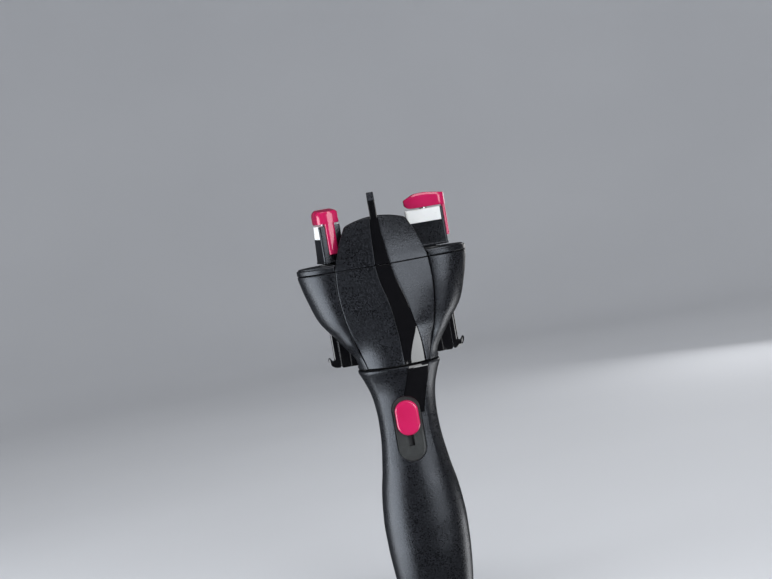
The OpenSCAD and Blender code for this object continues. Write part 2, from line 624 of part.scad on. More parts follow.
module tower_gear(s) {
  color(nylon) translate([s * tower_x, 0, zj]) rotate([0, 0, 180 / tower_teeth])
    spur(1, tower_teeth, 0.95, 1.2, backlash, 4.01, 41.2, 45.8);
}
module tower_gear_left() { tower_gear(-1); }
module tower_gear_right() { tower_gear(1); }

module lift_rod(s) {
  color(steel) at_tower(s) union() {
    disc(2, 13, 77.5);
    disc(3.9, 24.7, 25.9);
  }
}
module lift_rod_left() { lift_rod(-1); }
module lift_rod_right() { lift_rod(1); }

// T-shaped hook: a tapered head over the pad and a stem down the tower's end groove
module hook(s) {
  // [x, half width, underside, top]
  prof = [[-9.7, 3.2, 79.6, 82.4], [-8.2, 3.9, 78.2, 83.1], [-4, 4.7, 77.6, 84.95], [1, 5.3, 77.6, 85.2], [6, 5.7, 77.6, 84.6],
    [8.8, 5.8, 77.6, 84.2], [10.2, 5.2, 77.6, 84], [11.1, 4, 77.6, 83.85], [11.7, 2.4, 77.7, 83.7]];
  sect = function(p) [for (c = [[-0.92, 0], [-1, 0.12], [-1, 0.62], [-0.82, 0.9], [-0.45, 1], [0.45, 1], [0.82, 0.9], [1, 0.62], [1, 0.12], [0.92, 0]])
    [p[0], c[0] * p[1], mix(p[2], p[3], c[1])]];
  color(pink) at_tower(s) union() {
    ring_loft([for (p = prof) rev(sect(p))]);
    block(tower_len / 2 - 0.55, 11.5, -2.45, 2.45, 61.6, 78.6);
  }
}
module hook_left() { hook(-1); }
module hook_right() { hook(1); }

module hook_spring(s) {
  n = 48; turns = 5; r = 3; w = 0.35; z0 = 26.3; z1 = 32.6;
  pts = [for (i = [0 : n]) let (a = i * 360 * turns / n, z = mix(z0, z1, i / n)) for (j = [0 : 5])
    [(r + w * cos(60 * j)) * cos(a), (r + w * cos(60 * j)) * sin(a), z + w * sin(60 * j)]];
  walls = [for (k = [0 : n - 1]) for (j = [0 : 5]) let (a = k * 6 + j, b = k * 6 + (j + 1) % 6, c = a + 6, d = b + 6) each [[a, c, b], [b, c, d]]];
  e = n * 6;
  color(steel) at_tower(s) polyhedron(pts, concat(walls, [for (j = [1 : 4]) [0, j, j + 1]], [for (j = [1 : 4]) [e, e + j + 1, e + j]]));
}
module hook_spring_left() { hook_spring(-1); }
module hook_spring_right() { hook_spring(1); }

handle_front_shell();
handle_rear_shell();
handle_gloss_inlay();
switch_tray();
switch_button();
circuit_board();
slide_switch();
battery_cover();
battery_cells();
battery_contacts();
battery_bulkhead();
handle_screws();
motor_can();
motor_rotor();
motor_pinion();
ring_gear_housing();
gearbox_cover();
planet_gear_1();
planet_gear_2();
planet_gear_3();
planet_carrier();
slip_clutch_driver();
neck_bearing();
one_way_clutch_ring();
clutch_rollers();
head_hub();
hub_retaining_clip();
head_lower_cup();
front_petal_lower();
rear_petal_lower();
front_petal_upper();
rear_petal_upper();
front_gloss_strip();
rear_gloss_strip();
divider_fin();
head_upper_cover();
gear_chassis();
head_screws();
spindle_bushes();
drive_shaft();
sun_gear();
stub_housing_left();
stub_housing_right();
pusher_left();
pusher_right();
tower_left();
tower_right();
pad_left();
pad_right();
tower_gear_left();
tower_gear_right();
lift_rod_left();
lift_rod_right();
hook_left();
hook_right();
hook_spring_left();
hook_spring_right();
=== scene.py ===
"""Looks of the hair braider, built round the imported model. Metres, +Z up, front along -Y.

Shapes are worked out in millimetres with z counted from the turning junction between handle and head, and put() brings
them into the model's frame.
"""
import json
import math

import bmesh
import bpy
import numpy as np
from mathutils import Matrix, Vector


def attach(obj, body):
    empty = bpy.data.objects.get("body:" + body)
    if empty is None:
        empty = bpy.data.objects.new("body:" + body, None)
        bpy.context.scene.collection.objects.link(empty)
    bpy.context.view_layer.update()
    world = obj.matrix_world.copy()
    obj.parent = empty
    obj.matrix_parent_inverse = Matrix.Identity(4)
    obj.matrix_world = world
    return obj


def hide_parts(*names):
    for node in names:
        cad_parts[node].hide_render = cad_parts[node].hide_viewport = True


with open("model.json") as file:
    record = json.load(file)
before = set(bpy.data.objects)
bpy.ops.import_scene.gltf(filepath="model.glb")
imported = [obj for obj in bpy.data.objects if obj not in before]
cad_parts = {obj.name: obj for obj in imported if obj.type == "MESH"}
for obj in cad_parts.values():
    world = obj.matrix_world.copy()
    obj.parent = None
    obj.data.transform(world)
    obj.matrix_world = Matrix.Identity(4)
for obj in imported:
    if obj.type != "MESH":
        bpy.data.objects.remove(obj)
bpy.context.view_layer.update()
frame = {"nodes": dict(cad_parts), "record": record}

ZJ = 130.0
scene = bpy.context.scene


# ------------------------------------------------------------------------------------------------ tables
def pchip(rows):
    """Smooth curve through the rows of a table, which keeps every rise and fall of the table."""
    t = np.array(sorted(rows), float)
    x, y = t[:, 0], t[:, 1]
    h, d = np.diff(x), np.diff(y) / np.diff(x)
    m = np.zeros(len(x))
    for i in range(1, len(x) - 1):
        if d[i - 1] * d[i] > 0:
            w1, w2 = 2 * h[i] + h[i - 1], h[i] + 2 * h[i - 1]
            m[i] = (w1 + w2) / (w1 / d[i - 1] + w2 / d[i])
    m[0], m[-1] = d[0], d[-1]

    def f(v):
        v = np.clip(np.asarray(v, float), x[0], x[-1])
        i = np.clip(np.searchsorted(x, v, "right") - 1, 0, len(x) - 2)
        s = (v - x[i]) / h[i]
        return ((1 + 2 * s) * (1 - s) ** 2 * y[i] + s * (1 - s) ** 2 * h[i] * m[i]
                + s * s * (3 - 2 * s) * y[i + 1] + s * s * (s - 1) * h[i] * m[i + 1])
    return f


wing = pchip([[0, 21.2], [4, 22.4], [8, 24.4], [12, 26.6], [16, 29.1], [20, 31.9], [24, 35.1], [30, 38.3], [38, 40.9],
              [46, 43.1], [53, 44.3], [60, 44.3]])
pet = pchip([[0, 15.7], [6, 17.3], [14, 19.8], [22, 21.8], [30, 23.3], [42, 24.3], [53, 23.8], [60, 21.9], [67, 19.5],
             [74, 16.2], [78, 14.6]])
keel = pchip([[0, 20.8], [10, 22.4], [20, 23.8], [30, 25], [42, 25.6], [53, 25.4], [60, 24], [70, 20.5], [78, 17]])
edge = pchip([[0, 14.2], [10, 16], [20, 17.6], [30, 18.8], [42, 19.6], [53, 19.4], [60, 18], [70, 15], [78, 12]])
sl = pchip([[0, 3], [7, 2.8], [14, 2.6], [22, 1.9], [29, 1.1], [35, 0], [41, -1.6], [47, -2.8], [53, -3.3], [60, -3.1],
            [70, -2.8], [78, -1.9]])
sr = pchip([[0, 14.5], [8, 14], [14, 13.2], [22, 11.9], [28, 10.7], [35, 9], [42, 6.9], [48, 5.3], [55, 4.2],
            [63, 3.2], [70, 2.3], [78, 1.9]])
kx = pchip([[0, 5.3], [10, 8.6], [21.5, 12], [30, 10.3], [42, 6.9], [53, 4.4], [63, 3.2], [78, 1.9]])
hw = pchip([[-130, 14], [-128.4, 16.4], [-124, 18.4], [-115, 20], [-105, 21], [-95, 21.6], [-85, 21.8], [-75, 21.2],
            [-65, 20], [-57, 18.4], [-50, 17.3], [-42, 16.2], [-36, 15.7], [-28, 15.5], [-20, 16], [-14, 17],
            [-8, 18.9], [-4, 20.5], [-1.6, 21.5], [-0.5, 21.65]])
hd = pchip([[-130, 11.5], [-128.4, 13.4], [-124, 15], [-115, 16.8], [-105, 18], [-95, 18.6], [-85, 18.6], [-75, 18.2],
            [-65, 17.6], [-57, 17], [-50, 16.7], [-42, 16.4], [-36, 16.2], [-28, 16.2], [-20, 16.6], [-14, 17.4],
            [-8, 18.9], [-4, 20.5], [-1.6, 21.5], [-0.5, 21.65]])
inl = pchip([[-26, 5.2], [-24, 3.6], [-20, 1.6], [-16, -0.3], [-10, 1.7], [-4, 3.4], [0, 4.4]])
inr = pchip([[-26, 9], [-24, 9.2], [-20, 10.2], [-14, 11.8], [-8, 13.6], [-3, 14.9], [0, 15.2]])
fold_l = pchip([[0, 15], [-3, 14.7], [-8.6, 13.6], [-14.7, 12.8], [-20, 11.9], [-26, 11.5], [-32, 11.4], [-40, 11.7],
                [-50, 12.6], [-62, 14], [-131, 14]])
fold_r = pchip([[0, 15.3], [-3, 15], [-8, 13.75], [-14, 11.95], [-20, 10.5], [-24, 10.2], [-31.5, 10.1], [-39, 10.6],
                [-47, 11.2], [-51, 11.7], [-62, 13.4], [-131, 14]])
fold_on = pchip([[-131, 0], [-66, 0], [-46, 0.9], [-30, 1], [-8, 1], [-0.5, 0.4]])


def mix(a, b, t):
    return a + (b - a) * t


def soft1(u, k=0.3):
    """min(u, 1) with a soft corner."""
    u = np.clip(u, 0, None)
    h = np.clip(k - np.abs(u - 1), 0, None) / k
    return np.minimum(u, 1) - h * h * k / 4


def ys(x, z):
    """Front surface of the head: two facets that meet on the strip, round at the junction."""
    k, p, kl, e = kx(z), pet(z), keel(z), edge(z)
    t = np.clip(np.where(x < k, (k - x) / (k + p), (x - k) / np.maximum(p - k, 0.01)), 0, 1.05)
    f = -(kl - (kl - e) * t ** 1.15)
    c = -np.sqrt(np.maximum(0.1, 21.15 ** 2 - np.asarray(x, float) ** 2))
    return mix(c, f, soft1(np.asarray(z, float) / 16))


def hy(x, z, w=0.0):
    """Depth of the handle's soft oblong outline, without the folds of the neck."""
    return -(hd(z) - w) * np.clip(1 - (np.abs(x) / (hw(z) - w)) ** 2.17, 0, None) ** 0.46


def hfront(x, z):
    """Front of the handle: a flatter facet between two folds, which fade out down the grip."""
    x, z = np.asarray(x, float), np.asarray(z, float)
    base = hy(x, z)
    c = np.where(x < 0, fold_l(z), fold_r(z))
    yb = -hy(c, z)
    top = hd(z) - 0.5 * fold_on(z)
    f = -(top - (top - yb) * np.clip(np.abs(x) / c, 0, 1) ** 1.8)
    return np.where(np.abs(x) < c, mix(base, f, fold_on(z)), base)


# ------------------------------------------------------------------------------------------------ mesh building
def put(v):
    v = np.array(v, float) / 1000.0
    v[..., 2] += ZJ / 1000.0
    return v


def arc_steps(r, n=5):
    """Distances from an edge at which a rounding of radius r is sampled."""
    return [r * (1 - math.cos(math.radians(90.0 * i / (n - 1)))) for i in range(n)]


def drop(s, r):
    """How far a rounding of radius r falls at distance s from the edge."""
    s = np.clip(s, 0, r)
    return r - np.sqrt(np.maximum(0, r * r - (r - s) ** 2))


def drop2(s1, s2, r):
    a, b = 1 - np.clip(s1, 0, r) / r, 1 - np.clip(s2, 0, r) / r
    return r * (1 - np.sqrt(np.maximum(0, 1 - a * a - b * b)))


def mesh_of(name, verts, faces, mm=True):
    me = bpy.data.meshes.new(name)
    v = put(verts) if mm else np.array(verts, float)
    me.from_pydata(v.tolist(), [], [list(map(int, f)) for f in faces])
    bm = bmesh.new()
    bm.from_mesh(me)
    bmesh.ops.remove_doubles(bm, verts=bm.verts, dist=2e-6)
    bmesh.ops.dissolve_degenerate(bm, edges=bm.edges, dist=1e-7)
    bmesh.ops.recalc_face_normals(bm, faces=bm.faces)
    if bm.calc_volume(signed=True) < 0:
        bmesh.ops.reverse_faces(bm, faces=bm.faces)
    bm.to_mesh(me)
    bm.free()
    o = bpy.data.objects.new(name, me)
    scene.collection.objects.link(o)
    return o


def slab(name, f, b):
    """Closed piece between a front grid and a back grid of points, both [row][column][3]."""
    f, b = np.array(f, float), np.array(b, float)
    h, n = f.shape[:2]
    v = np.concatenate([f.reshape(-1, 3), b.reshape(-1, 3)])
    q = []
    o = h * n
    for k in range(h - 1):
        for i in range(n - 1):
            a = k * n + i
            q.append((a, a + 1, a + n + 1, a + n))
            q.append((o + a, o + a + n, o + a + n + 1, o + a + 1))
    for k in range(h - 1):
        for i in (0, n - 1):
            a = k * n + i
            q.append((a, a + n, o + a + n, o + a))
    for i in range(n - 1):
        for k in (0, h - 1):
            a = k * n + i
            q.append((a, a + 1, o + a + 1, o + a))
    return mesh_of(name, v, q)


def loft(name, rings, closed=False):
    """Rings of equal count joined one to the next; closed joins the last to the first, otherwise both ends are capped."""
    r = np.array(rings, float)
    h, n = r.shape[:2]
    v = r.reshape(-1, 3)
    q = []
    for k in range(h if closed else h - 1):
        k2 = (k + 1) % h
        for i in range(n):
            j = (i + 1) % n
            q.append((k * n + i, k * n + j, k2 * n + j, k2 * n + i))
    if not closed:
        mids = np.array([r[0].mean(0), r[-1].mean(0)])
        v = np.concatenate([v, mids])
        s = h * n
        for i in range(n):
            j = (i + 1) % n
            q.append((s, i, j))
            q.append((s + 1, (h - 1) * n + j, (h - 1) * n + i))
    return mesh_of(name, v, q)


def prism(name, outline, y0, y1):
    """Straight piece with an outline in x and z."""
    n = len(outline)
    v = [[x, y0, z] for x, z in outline] + [[x, y1, z] for x, z in outline]
    q = [tuple(range(n)), tuple(range(n, 2 * n))] + [(i, (i + 1) % n, n + (i + 1) % n, n + i) for i in range(n)]
    return mesh_of(name, v, q)


def rod(name, x, y, r, z0, z1, n=64):
    ring = [(x + r * math.cos(2 * math.pi * i / n), y + r * math.sin(2 * math.pi * i / n)) for i in range(n)]
    return loft(name, [[[a, b, z0] for a, b in ring], [[a, b, z1] for a, b in ring]])


def block(name, x0, x1, y0, y1, z0, z1):
    return prism(name, [(x0, z0), (x1, z0), (x1, z1), (x0, z1)], y0, y1)


def applied(o):
    """Applies the modifiers of o to its mesh."""
    dg = bpy.context.evaluated_depsgraph_get()
    dg.update()
    me = bpy.data.meshes.new_from_object(o.evaluated_get(dg))
    old = o.data
    o.modifiers.clear()
    o.data = me
    if old.users == 0:
        bpy.data.meshes.remove(old)
    return o


def cut(o, *tools, mode="DIFFERENCE"):
    for t in tools:
        m = o.modifiers.new("cut", "BOOLEAN")
        m.operation, m.solver, m.object = mode, "EXACT", t
        applied(o)
        bpy.data.objects.remove(t)
    return o


def join(o, *others):
    return cut(o, *others, mode="UNION")


def soften(o, width, angle=35, segments=3):
    """Rounds the piece's edges by width, in millimetres."""
    m = o.modifiers.new("edge", "BEVEL")
    m.width, m.segments, m.limit_method = width / 1000.0, segments, "ANGLE"
    m.angle_limit, m.use_clamp_overlap, m.miter_outer = math.radians(angle), True, "MITER_ARC"
    return applied(o)


def turned(o, degrees, about=(0.0, 0.0)):
    a = math.radians(degrees)
    x, y = about[0] / 1000.0, about[1] / 1000.0
    o.data.transform(Matrix.Translation((x, y, 0)) @ Matrix.Rotation(a, 4, "Z") @ Matrix.Translation((-x, -y, 0)))
    return o


def mirrored(o):
    """Mirror image in the plane x = 0, with the faces turned the right way out again."""
    o.data.transform(Matrix.Scale(-1, 4, Vector((1, 0, 0))))
    o.data.flip_normals()
    return o


def copy_of(o, name):
    c = o.copy()
    c.data = o.data.copy()
    c.name = name
    scene.collection.objects.link(c)
    return c


def close_up(me):
    """Joins doubled corners and fills the few small holes that a boolean leaves."""
    b = bmesh.new()
    b.from_mesh(me)
    if any(not e.is_manifold for e in b.edges):
        bmesh.ops.remove_doubles(b, verts=b.verts, dist=2e-6)
        bmesh.ops.dissolve_degenerate(b, edges=b.edges, dist=1e-7)
        bmesh.ops.delete(b, geom=[v for v in b.verts if not v.link_faces], context="VERTS")
        gap = [e for e in b.edges if e.is_boundary]
        if gap:
            bmesh.ops.holes_fill(b, edges=gap, sides=12)
        b.to_mesh(me)
    b.free()


def finish_piece(o, body, material, nodes, angle=32):
    me = o.data
    close_up(me)
    me.shade_smooth()
    me.set_sharp_from_angle(angle=math.radians(angle))
    me.materials.clear()
    for m in (material if isinstance(material, (list, tuple)) else [material]):
        me.materials.append(m)
    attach(o, body)
    if nodes:
        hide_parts(*nodes)
    return o


# ------------------------------------------------------------------------------------------------ materials
def new_material(name):
    m = bpy.data.materials.new(name)
    m.use_nodes = True
    nt = m.node_tree
    nt.nodes.clear()
    out = nt.nodes.new("ShaderNodeOutputMaterial")
    b = nt.nodes.new("ShaderNodeBsdfPrincipled")
    nt.links.new(b.outputs[0], out.inputs[0])
    co = nt.nodes.new("ShaderNodeTexCoord")
    return m, nt, b, co.outputs["Object"]


def noise(nt, co, scale, detail=2.0, rough=0.5, stretch=None):
    n = nt.nodes.new("ShaderNodeTexNoise")
    n.inputs["Scale"].default_value = scale
    n.inputs["Detail"].default_value = detail
    n.inputs["Roughness"].default_value = rough
    if stretch:
        mp = nt.nodes.new("ShaderNodeMapping")
        mp.inputs["Scale"].default_value = stretch
        nt.links.new(co, mp.inputs["Vector"])
        co = mp.outputs[0]
    nt.links.new(co, n.inputs["Vector"])
    return n.outputs["Fac"]


def remap(nt, value, a, b, c, d):
    m = nt.nodes.new("ShaderNodeMapRange")
    m.inputs["From Min"].default_value, m.inputs["From Max"].default_value = a, b
    m.inputs["To Min"].default_value, m.inputs["To Max"].default_value = c, d
    nt.links.new(value, m.inputs["Value"])
    return m.outputs[0]


def blend2(nt, fac, a, b):
    m = nt.nodes.new("ShaderNodeMix")
    m.data_type = "RGBA"
    nt.links.new(fac, m.inputs[0])
    for s, v in ((6, a), (7, b)):
        if isinstance(v, tuple):
            m.inputs[s].default_value = (*v, 1)
        else:
            nt.links.new(v, m.inputs[s])
    return m.outputs[2]


def add(nt, a, b, op="ADD"):
    m = nt.nodes.new("ShaderNodeMath")
    m.operation = op
    for i, v in enumerate((a, b)):
        if isinstance(v, (int, float)):
            m.inputs[i].default_value = v
        else:
            nt.links.new(v, m.inputs[i])
    return m.outputs[0]


def bump(nt, b, height, distance, strength=1.0, after=None):
    n = nt.nodes.new("ShaderNodeBump")
    n.inputs["Distance"].default_value = distance
    n.inputs["Strength"].default_value = strength
    nt.links.new(height, n.inputs["Height"])
    if after is not None:
        nt.links.new(after, n.inputs["Normal"])
    nt.links.new(n.outputs[0], b.inputs["Normal"])
    return n.outputs[0]


scene.view_settings.view_transform = "Standard"
scene.view_settings.look = "None"


def worn_edges(nt, low=0.52, high=0.6):
    g = nt.nodes.new("ShaderNodeNewGeometry")
    return remap(nt, g.outputs["Pointiness"], low, high, 0.0, 1.0)


def satin_black(name="satin_black", tint=1.0, grain=1.0):
    m, nt, b, co = new_material(name)
    cloud = noise(nt, co, 45, 3)
    speck = noise(nt, co, 1300, 1.0, 0.6)
    base = blend2(nt, remap(nt, cloud, 0.35, 0.65, 0, 1), (0.0028 * tint, 0.0029 * tint, 0.0036 * tint),
                  (0.0044 * tint, 0.0046 * tint, 0.0056 * tint))
    base = blend2(nt, remap(nt, speck, 0.42, 0.72, 0.0, grain), base, (0.020 * tint, 0.021 * tint, 0.025 * tint))
    rub = add(nt, worn_edges(nt), remap(nt, noise(nt, co, 160, 3), 0.45, 0.7, 0.0, 1.0), "MULTIPLY")
    base = blend2(nt, add(nt, rub, 0.35, "MULTIPLY"), base, (0.024 * tint, 0.025 * tint, 0.029 * tint))
    nt.links.new(base, b.inputs["Base Color"])
    rough = add(nt, remap(nt, noise(nt, co, 90, 3), 0.3, 0.7, 0.275, 0.325), remap(nt, speck, 0.3, 0.7, -0.035, 0.035))
    rough = add(nt, rough, add(nt, rub, -0.05, "MULTIPLY"))
    nt.links.new(rough, b.inputs["Roughness"])
    b.inputs["Specular IOR Level"].default_value = 0.5
    b.inputs["Specular Tint"].default_value = (0.84, 0.90, 1.0, 1)
    grainy = add(nt, noise(nt, co, 1150, 2, 0.7), add(nt, noise(nt, co, 3000, 1, 0.5), 0.4, "MULTIPLY"))
    n1 = bump(nt, b, noise(nt, co, 70, 1), 0.00003, 0.5)
    bump(nt, b, grainy, 0.00011 * grain, 1.0, n1)
    return m


def gloss_black(name="gloss_black", tint=1.0):
    m, nt, b, co = new_material(name)
    film = noise(nt, co, 60, 4, 0.6)
    base = blend2(nt, remap(nt, film, 0.3, 0.7, 0, 1), (0.0022 * tint, 0.0022 * tint, 0.0028 * tint),
                  (0.0040 * tint, 0.0038 * tint, 0.0044 * tint))
    nt.links.new(base, b.inputs["Base Color"])
    scratches = remap(nt, noise(nt, co, 900, 2, 0.5, (1.0, 1.0, 0.12)), 0.66, 0.8, 0.0, 0.10)
    nt.links.new(add(nt, remap(nt, film, 0.35, 0.7, 0.055, 0.11), scratches), b.inputs["Roughness"])
    b.inputs["Specular IOR Level"].default_value = 0.55
    b.inputs["Coat Weight"].default_value = 0.35
    b.inputs["Coat Roughness"].default_value = 0.05
    bump(nt, b, noise(nt, co, 900, 2), 0.000003, 0.6)
    return m


def pink_plastic():
    m, nt, b, co = new_material("pink_plastic")
    cloud = noise(nt, co, 80, 3)
    base = blend2(nt, remap(nt, cloud, 0.3, 0.7, 0, 1), (0.44, 0.008, 0.072), (0.50, 0.012, 0.092))
    edge_fac = add(nt, worn_edges(nt, 0.52, 0.62), 0.35, "MULTIPLY")
    base = blend2(nt, edge_fac, base, (0.60, 0.035, 0.15))
    nt.links.new(base, b.inputs["Base Color"])
    nt.links.new(add(nt, remap(nt, noise(nt, co, 300, 3), 0.3, 0.7, 0.15, 0.22),
                     remap(nt, noise(nt, co, 1500, 1), 0.6, 0.8, 0.0, 0.05)), b.inputs["Roughness"])
    b.inputs["Subsurface Weight"].default_value = 0.12
    b.inputs["Subsurface Radius"].default_value = (0.0012, 0.0004, 0.0005)
    b.inputs["Coat Weight"].default_value = 0.5
    b.inputs["Coat Roughness"].default_value = 0.06
    bump(nt, b, noise(nt, co, 1400, 2), 0.000010, 0.8)
    return m


def white_pad():
    m, nt, b, co = new_material("white_pad")
    cloud = noise(nt, co, 120, 3)
    base = blend2(nt, remap(nt, cloud, 0.3, 0.7, 0, 1), (0.78, 0.80, 0.80), (0.86, 0.875, 0.87))
    dust = remap(nt, noise(nt, co, 700, 3), 0.62, 0.8, 0.0, 0.25)
    base = blend2(nt, dust, base, (0.62, 0.62, 0.60))
    nt.links.new(base, b.inputs["Base Color"])
    nt.links.new(remap(nt, noise(nt, co, 500, 2), 0.3, 0.7, 0.42, 0.56), b.inputs["Roughness"])
    b.inputs["Subsurface Weight"].default_value = 0.35
    b.inputs["Subsurface Radius"].default_value = (0.002, 0.002, 0.0018)
    bump(nt, b, add(nt, noise(nt, co, 1600, 2), noise(nt, co, 260, 1)), 0.00002, 0.8)
    return m


def plain(name, a, c, rough, scale=300.0, metal=0.0, stretch=None, depth=0.00002):
    m, nt, b, co = new_material(name)
    n1 = noise(nt, co, scale, 3, 0.55, stretch)
    nt.links.new(blend2(nt, remap(nt, n1, 0.3, 0.7, 0, 1), a, c), b.inputs["Base Color"])
    nt.links.new(remap(nt, noise(nt, co, scale * 2.2, 2, 0.5, stretch), 0.3, 0.7, rough - 0.05, rough + 0.07),
                 b.inputs["Roughness"])
    b.inputs["Metallic"].default_value = metal
    bump(nt, b, noise(nt, co, scale * 4, 2, 0.5, stretch), depth, 0.8)
    return m


BLACK = satin_black()
GLOSS = gloss_black()
# Top cap of the fin: satin instead of gloss, and its colour three times lighter, which is painted light standing for
# the light that falls on the upward-facing tip.
FIN_TIP_PAINTED_LIGHT = satin_black("fin_tip_painted_light", 3.0, 0.6)
PINK = pink_plastic()
WHITE = white_pad()
DARK = plain("dark_grey", (0.040, 0.041, 0.044), (0.058, 0.059, 0.062), 0.46, 500)
TRAY = plain("tray_grey", (0.030, 0.032, 0.032), (0.044, 0.046, 0.046), 0.33, 600)
GREEN = plain("board_green", (0.012, 0.10, 0.035), (0.02, 0.15, 0.06), 0.4, 700)
CELL = plain("cell_metal", (0.24, 0.25, 0.28), (0.34, 0.35, 0.38), 0.3, 200, 0.8, (1, 1, 0.1))
STEEL = plain("steel", (0.52, 0.53, 0.55), (0.66, 0.67, 0.69), 0.27, 900, 1.0, (1, 1, 0.08), 0.000008)
BRASS = plain("brass", (0.66, 0.49, 0.20), (0.80, 0.62, 0.30), 0.3, 900, 1.0, (1, 1, 0.15), 0.000008)
NYLON = plain("nylon", (0.70, 0.68, 0.61), (0.80, 0.785, 0.72), 0.5, 350)
SLOTS = {"satin_black": BLACK, "gloss_black": GLOSS, "pink_plastic": PINK, "white_pad": WHITE, "dark_grey": DARK,
         "board_green": GREEN, "cell_metal": CELL, "steel": STEEL, "brass": BRASS, "nylon": NYLON}

for part in frame["record"]["subparts"]:
    o = frame["nodes"].get(part["node"])
    if o is not None:
        o.data.materials.clear()
        o.data.materials.append(SLOTS[part["material_slot"]])

# ------------------------------------------------------------------------------------------------ camera
EL, ROLL, DIST = math.radians(3.5), math.radians(9.8), 0.850
target = Vector((0, 0, 0.1686))
back = Vector((0, -math.cos(EL), math.sin(EL)))
right0, up0 = Vector((1, 0, 0)), Vector((1, 0, 0)).cross(-back)
cam_right = right0 * math.cos(ROLL) - up0 * math.sin(ROLL)
cam_up = right0 * math.sin(ROLL) + up0 * math.cos(ROLL)
cam_data = bpy.data.cameras.new("camera")
cam_data.sensor_fit, cam_data.sensor_width, cam_data.lens = "HORIZONTAL", 36.0, 36.0 * 1634.6 / 772.0
cam_data.clip_start, cam_data.clip_end = 0.05, 20.0
cam = bpy.data.objects.new("camera", cam_data)
scene.collection.objects.link(cam)
turn = Matrix((cam_right, cam_up, back)).transposed().to_4x4()
cam.matrix_world = Matrix.Translation(target + back * DIST) @ turn
scene.camera = cam


# ------------------------------------------------------------------------------------------------ petals and strips
def spaced(r, n):
    """Columns between two rounded edges: (share of the width between the roundings, distance from the left edge or None,
    distance from the right edge or None)."""
    out = [("l", s) for s in arc_steps(r)]
    out += [("m", (i + 1) / (n + 1)) for i in range(n)]
    out += [("r", s) for s in reversed(arc_steps(r))]
    return out


def place(cols, x0, x1, r):
    """x and distance from the nearer edge, for each column of spaced()."""
    x, s = [], []
    for kind, v in cols:
        if kind == "l":
            x.append(x0 + v); s.append(np.full_like(x0, v))
        elif kind == "r":
            x.append(x1 - v); s.append(np.full_like(x0, v))
        else:
            a = mix(x0 + r, x1 - r, v)
            x.append(a); s.append(np.full_like(x0, r))
    return np.stack(x, -1), np.stack(s, -1)


R_EDGE = 0.32


def petal_top(x):
    return 77.3 - 0.012 * x * x - 0.1 * np.clip(np.abs(x) - 14.6, 0, None) ** 2


def petal(name, z0, z1, rows, domed, depth_channel=1.2, thick=2.0):
    """A petal cover with the strip's channel down its front."""
    left, right = spaced(R_EDGE, 26), spaced(R_EDGE, 22)
    floor = np.linspace(0, 1, 9)
    v = ([("b", s) for s in arc_steps(R_EDGE)] + [("m", (i + 1) / (rows + 1)) for i in range(rows)]
         + [("t", s) for s in reversed(arc_steps(R_EDGE))])
    ncol = len(left) + len(floor) + len(right)
    z = np.array([[z0 + s if k == "b" else (z1 - s if k == "t" else mix(z0 + R_EDGE, z1 - R_EDGE, s))] * ncol for k, s in v])
    in_floor = np.zeros(ncol, bool)
    in_floor[len(left):len(left) + len(floor)] = True
    for _ in range(8 if domed else 1):
        x = np.zeros_like(z)
        s = np.zeros_like(z)
        for c in range(ncol):
            zc = z[:, c]
            if c < len(left):
                k = left[c]
                x0, x1, side = -pet(zc), sl(zc), k
            elif in_floor[c]:
                t = floor[c - len(left)]
                x[:, c] = mix(sl(zc), sr(zc), t)
                s[:, c] = R_EDGE
                continue
            else:
                k = right[c - len(left) - len(floor)]
                x0, x1, side = sr(zc), pet(zc), k
            if k[0] == "l":
                x[:, c] = x0 + k[1]; s[:, c] = k[1]
            elif k[0] == "r":
                x[:, c] = x1 - k[1]; s[:, c] = k[1]
            else:
                x[:, c] = mix(x0 + R_EDGE, x1 - R_EDGE, k[1]); s[:, c] = R_EDGE
        if domed:
            top = np.where(in_floor[None, :], 76.4, petal_top(x))
            for r_i, (k, sv) in enumerate(v):
                z[r_i] = z0 + sv if k == "b" else (top[r_i] - sv if k == "t" else mix(z0 + R_EDGE, top[r_i] - R_EDGE, sv))
    sz = np.array([[sv if k in "bt" else R_EDGE] * ncol for k, sv in v])
    d = np.where(in_floor[None, :], depth_channel, drop2(s, sz, R_EDGE))
    y = ys(x, z)
    f = np.stack([x, y + d, z], -1)
    b = np.stack([x, y + thick, z], -1)
    return slab(name, f, b)


def strip(name, z0, z1, rows, r=0.2, proud=0.26, back=1.02, gap=0.14):
    """The glossy strip with its bevelled edges and the crease between its two facets."""
    v = ([("b", s) for s in arc_steps(r, 4)] + [("m", (i + 1) / (rows + 1)) for i in range(rows)]
         + [("t", s) for s in reversed(arc_steps(r, 4))])
    z = np.array([z0 + s if k == "b" else (z1 - s if k == "t" else mix(z0 + r, z1 - r, s)) for k, s in v])
    sz = np.array([s if k in "bt" else r for k, s in v])[:, None]
    x0, x1 = sl(z) + gap, sr(z) - gap
    kc = np.minimum(kx(z), x1 - r - 0.12)
    cols, dist = [], []
    for s in arc_steps(r, 4):
        cols.append(x0 + s); dist.append(s)
    for t in np.linspace(0, 1, 17)[1:]:
        cols.append(mix(x0 + r, kc, t)); dist.append(r)
    for t in np.linspace(0, 1, 9)[1:-1]:
        cols.append(mix(kc, x1 - r, t)); dist.append(r)
    for s in reversed(arc_steps(r, 4)):
        cols.append(x1 - s); dist.append(s)
    x = np.stack(cols, -1)
    s = np.array(dist)[None, :] * np.ones_like(x)
    zz = z[:, None] * np.ones_like(x)
    y = ys(x, zz)
    f = np.stack([x, y + proud + drop2(s, sz * np.ones_like(x), r), zz], -1)
    b = np.stack([x, y + back, zz], -1)
    return slab(name, f, b)


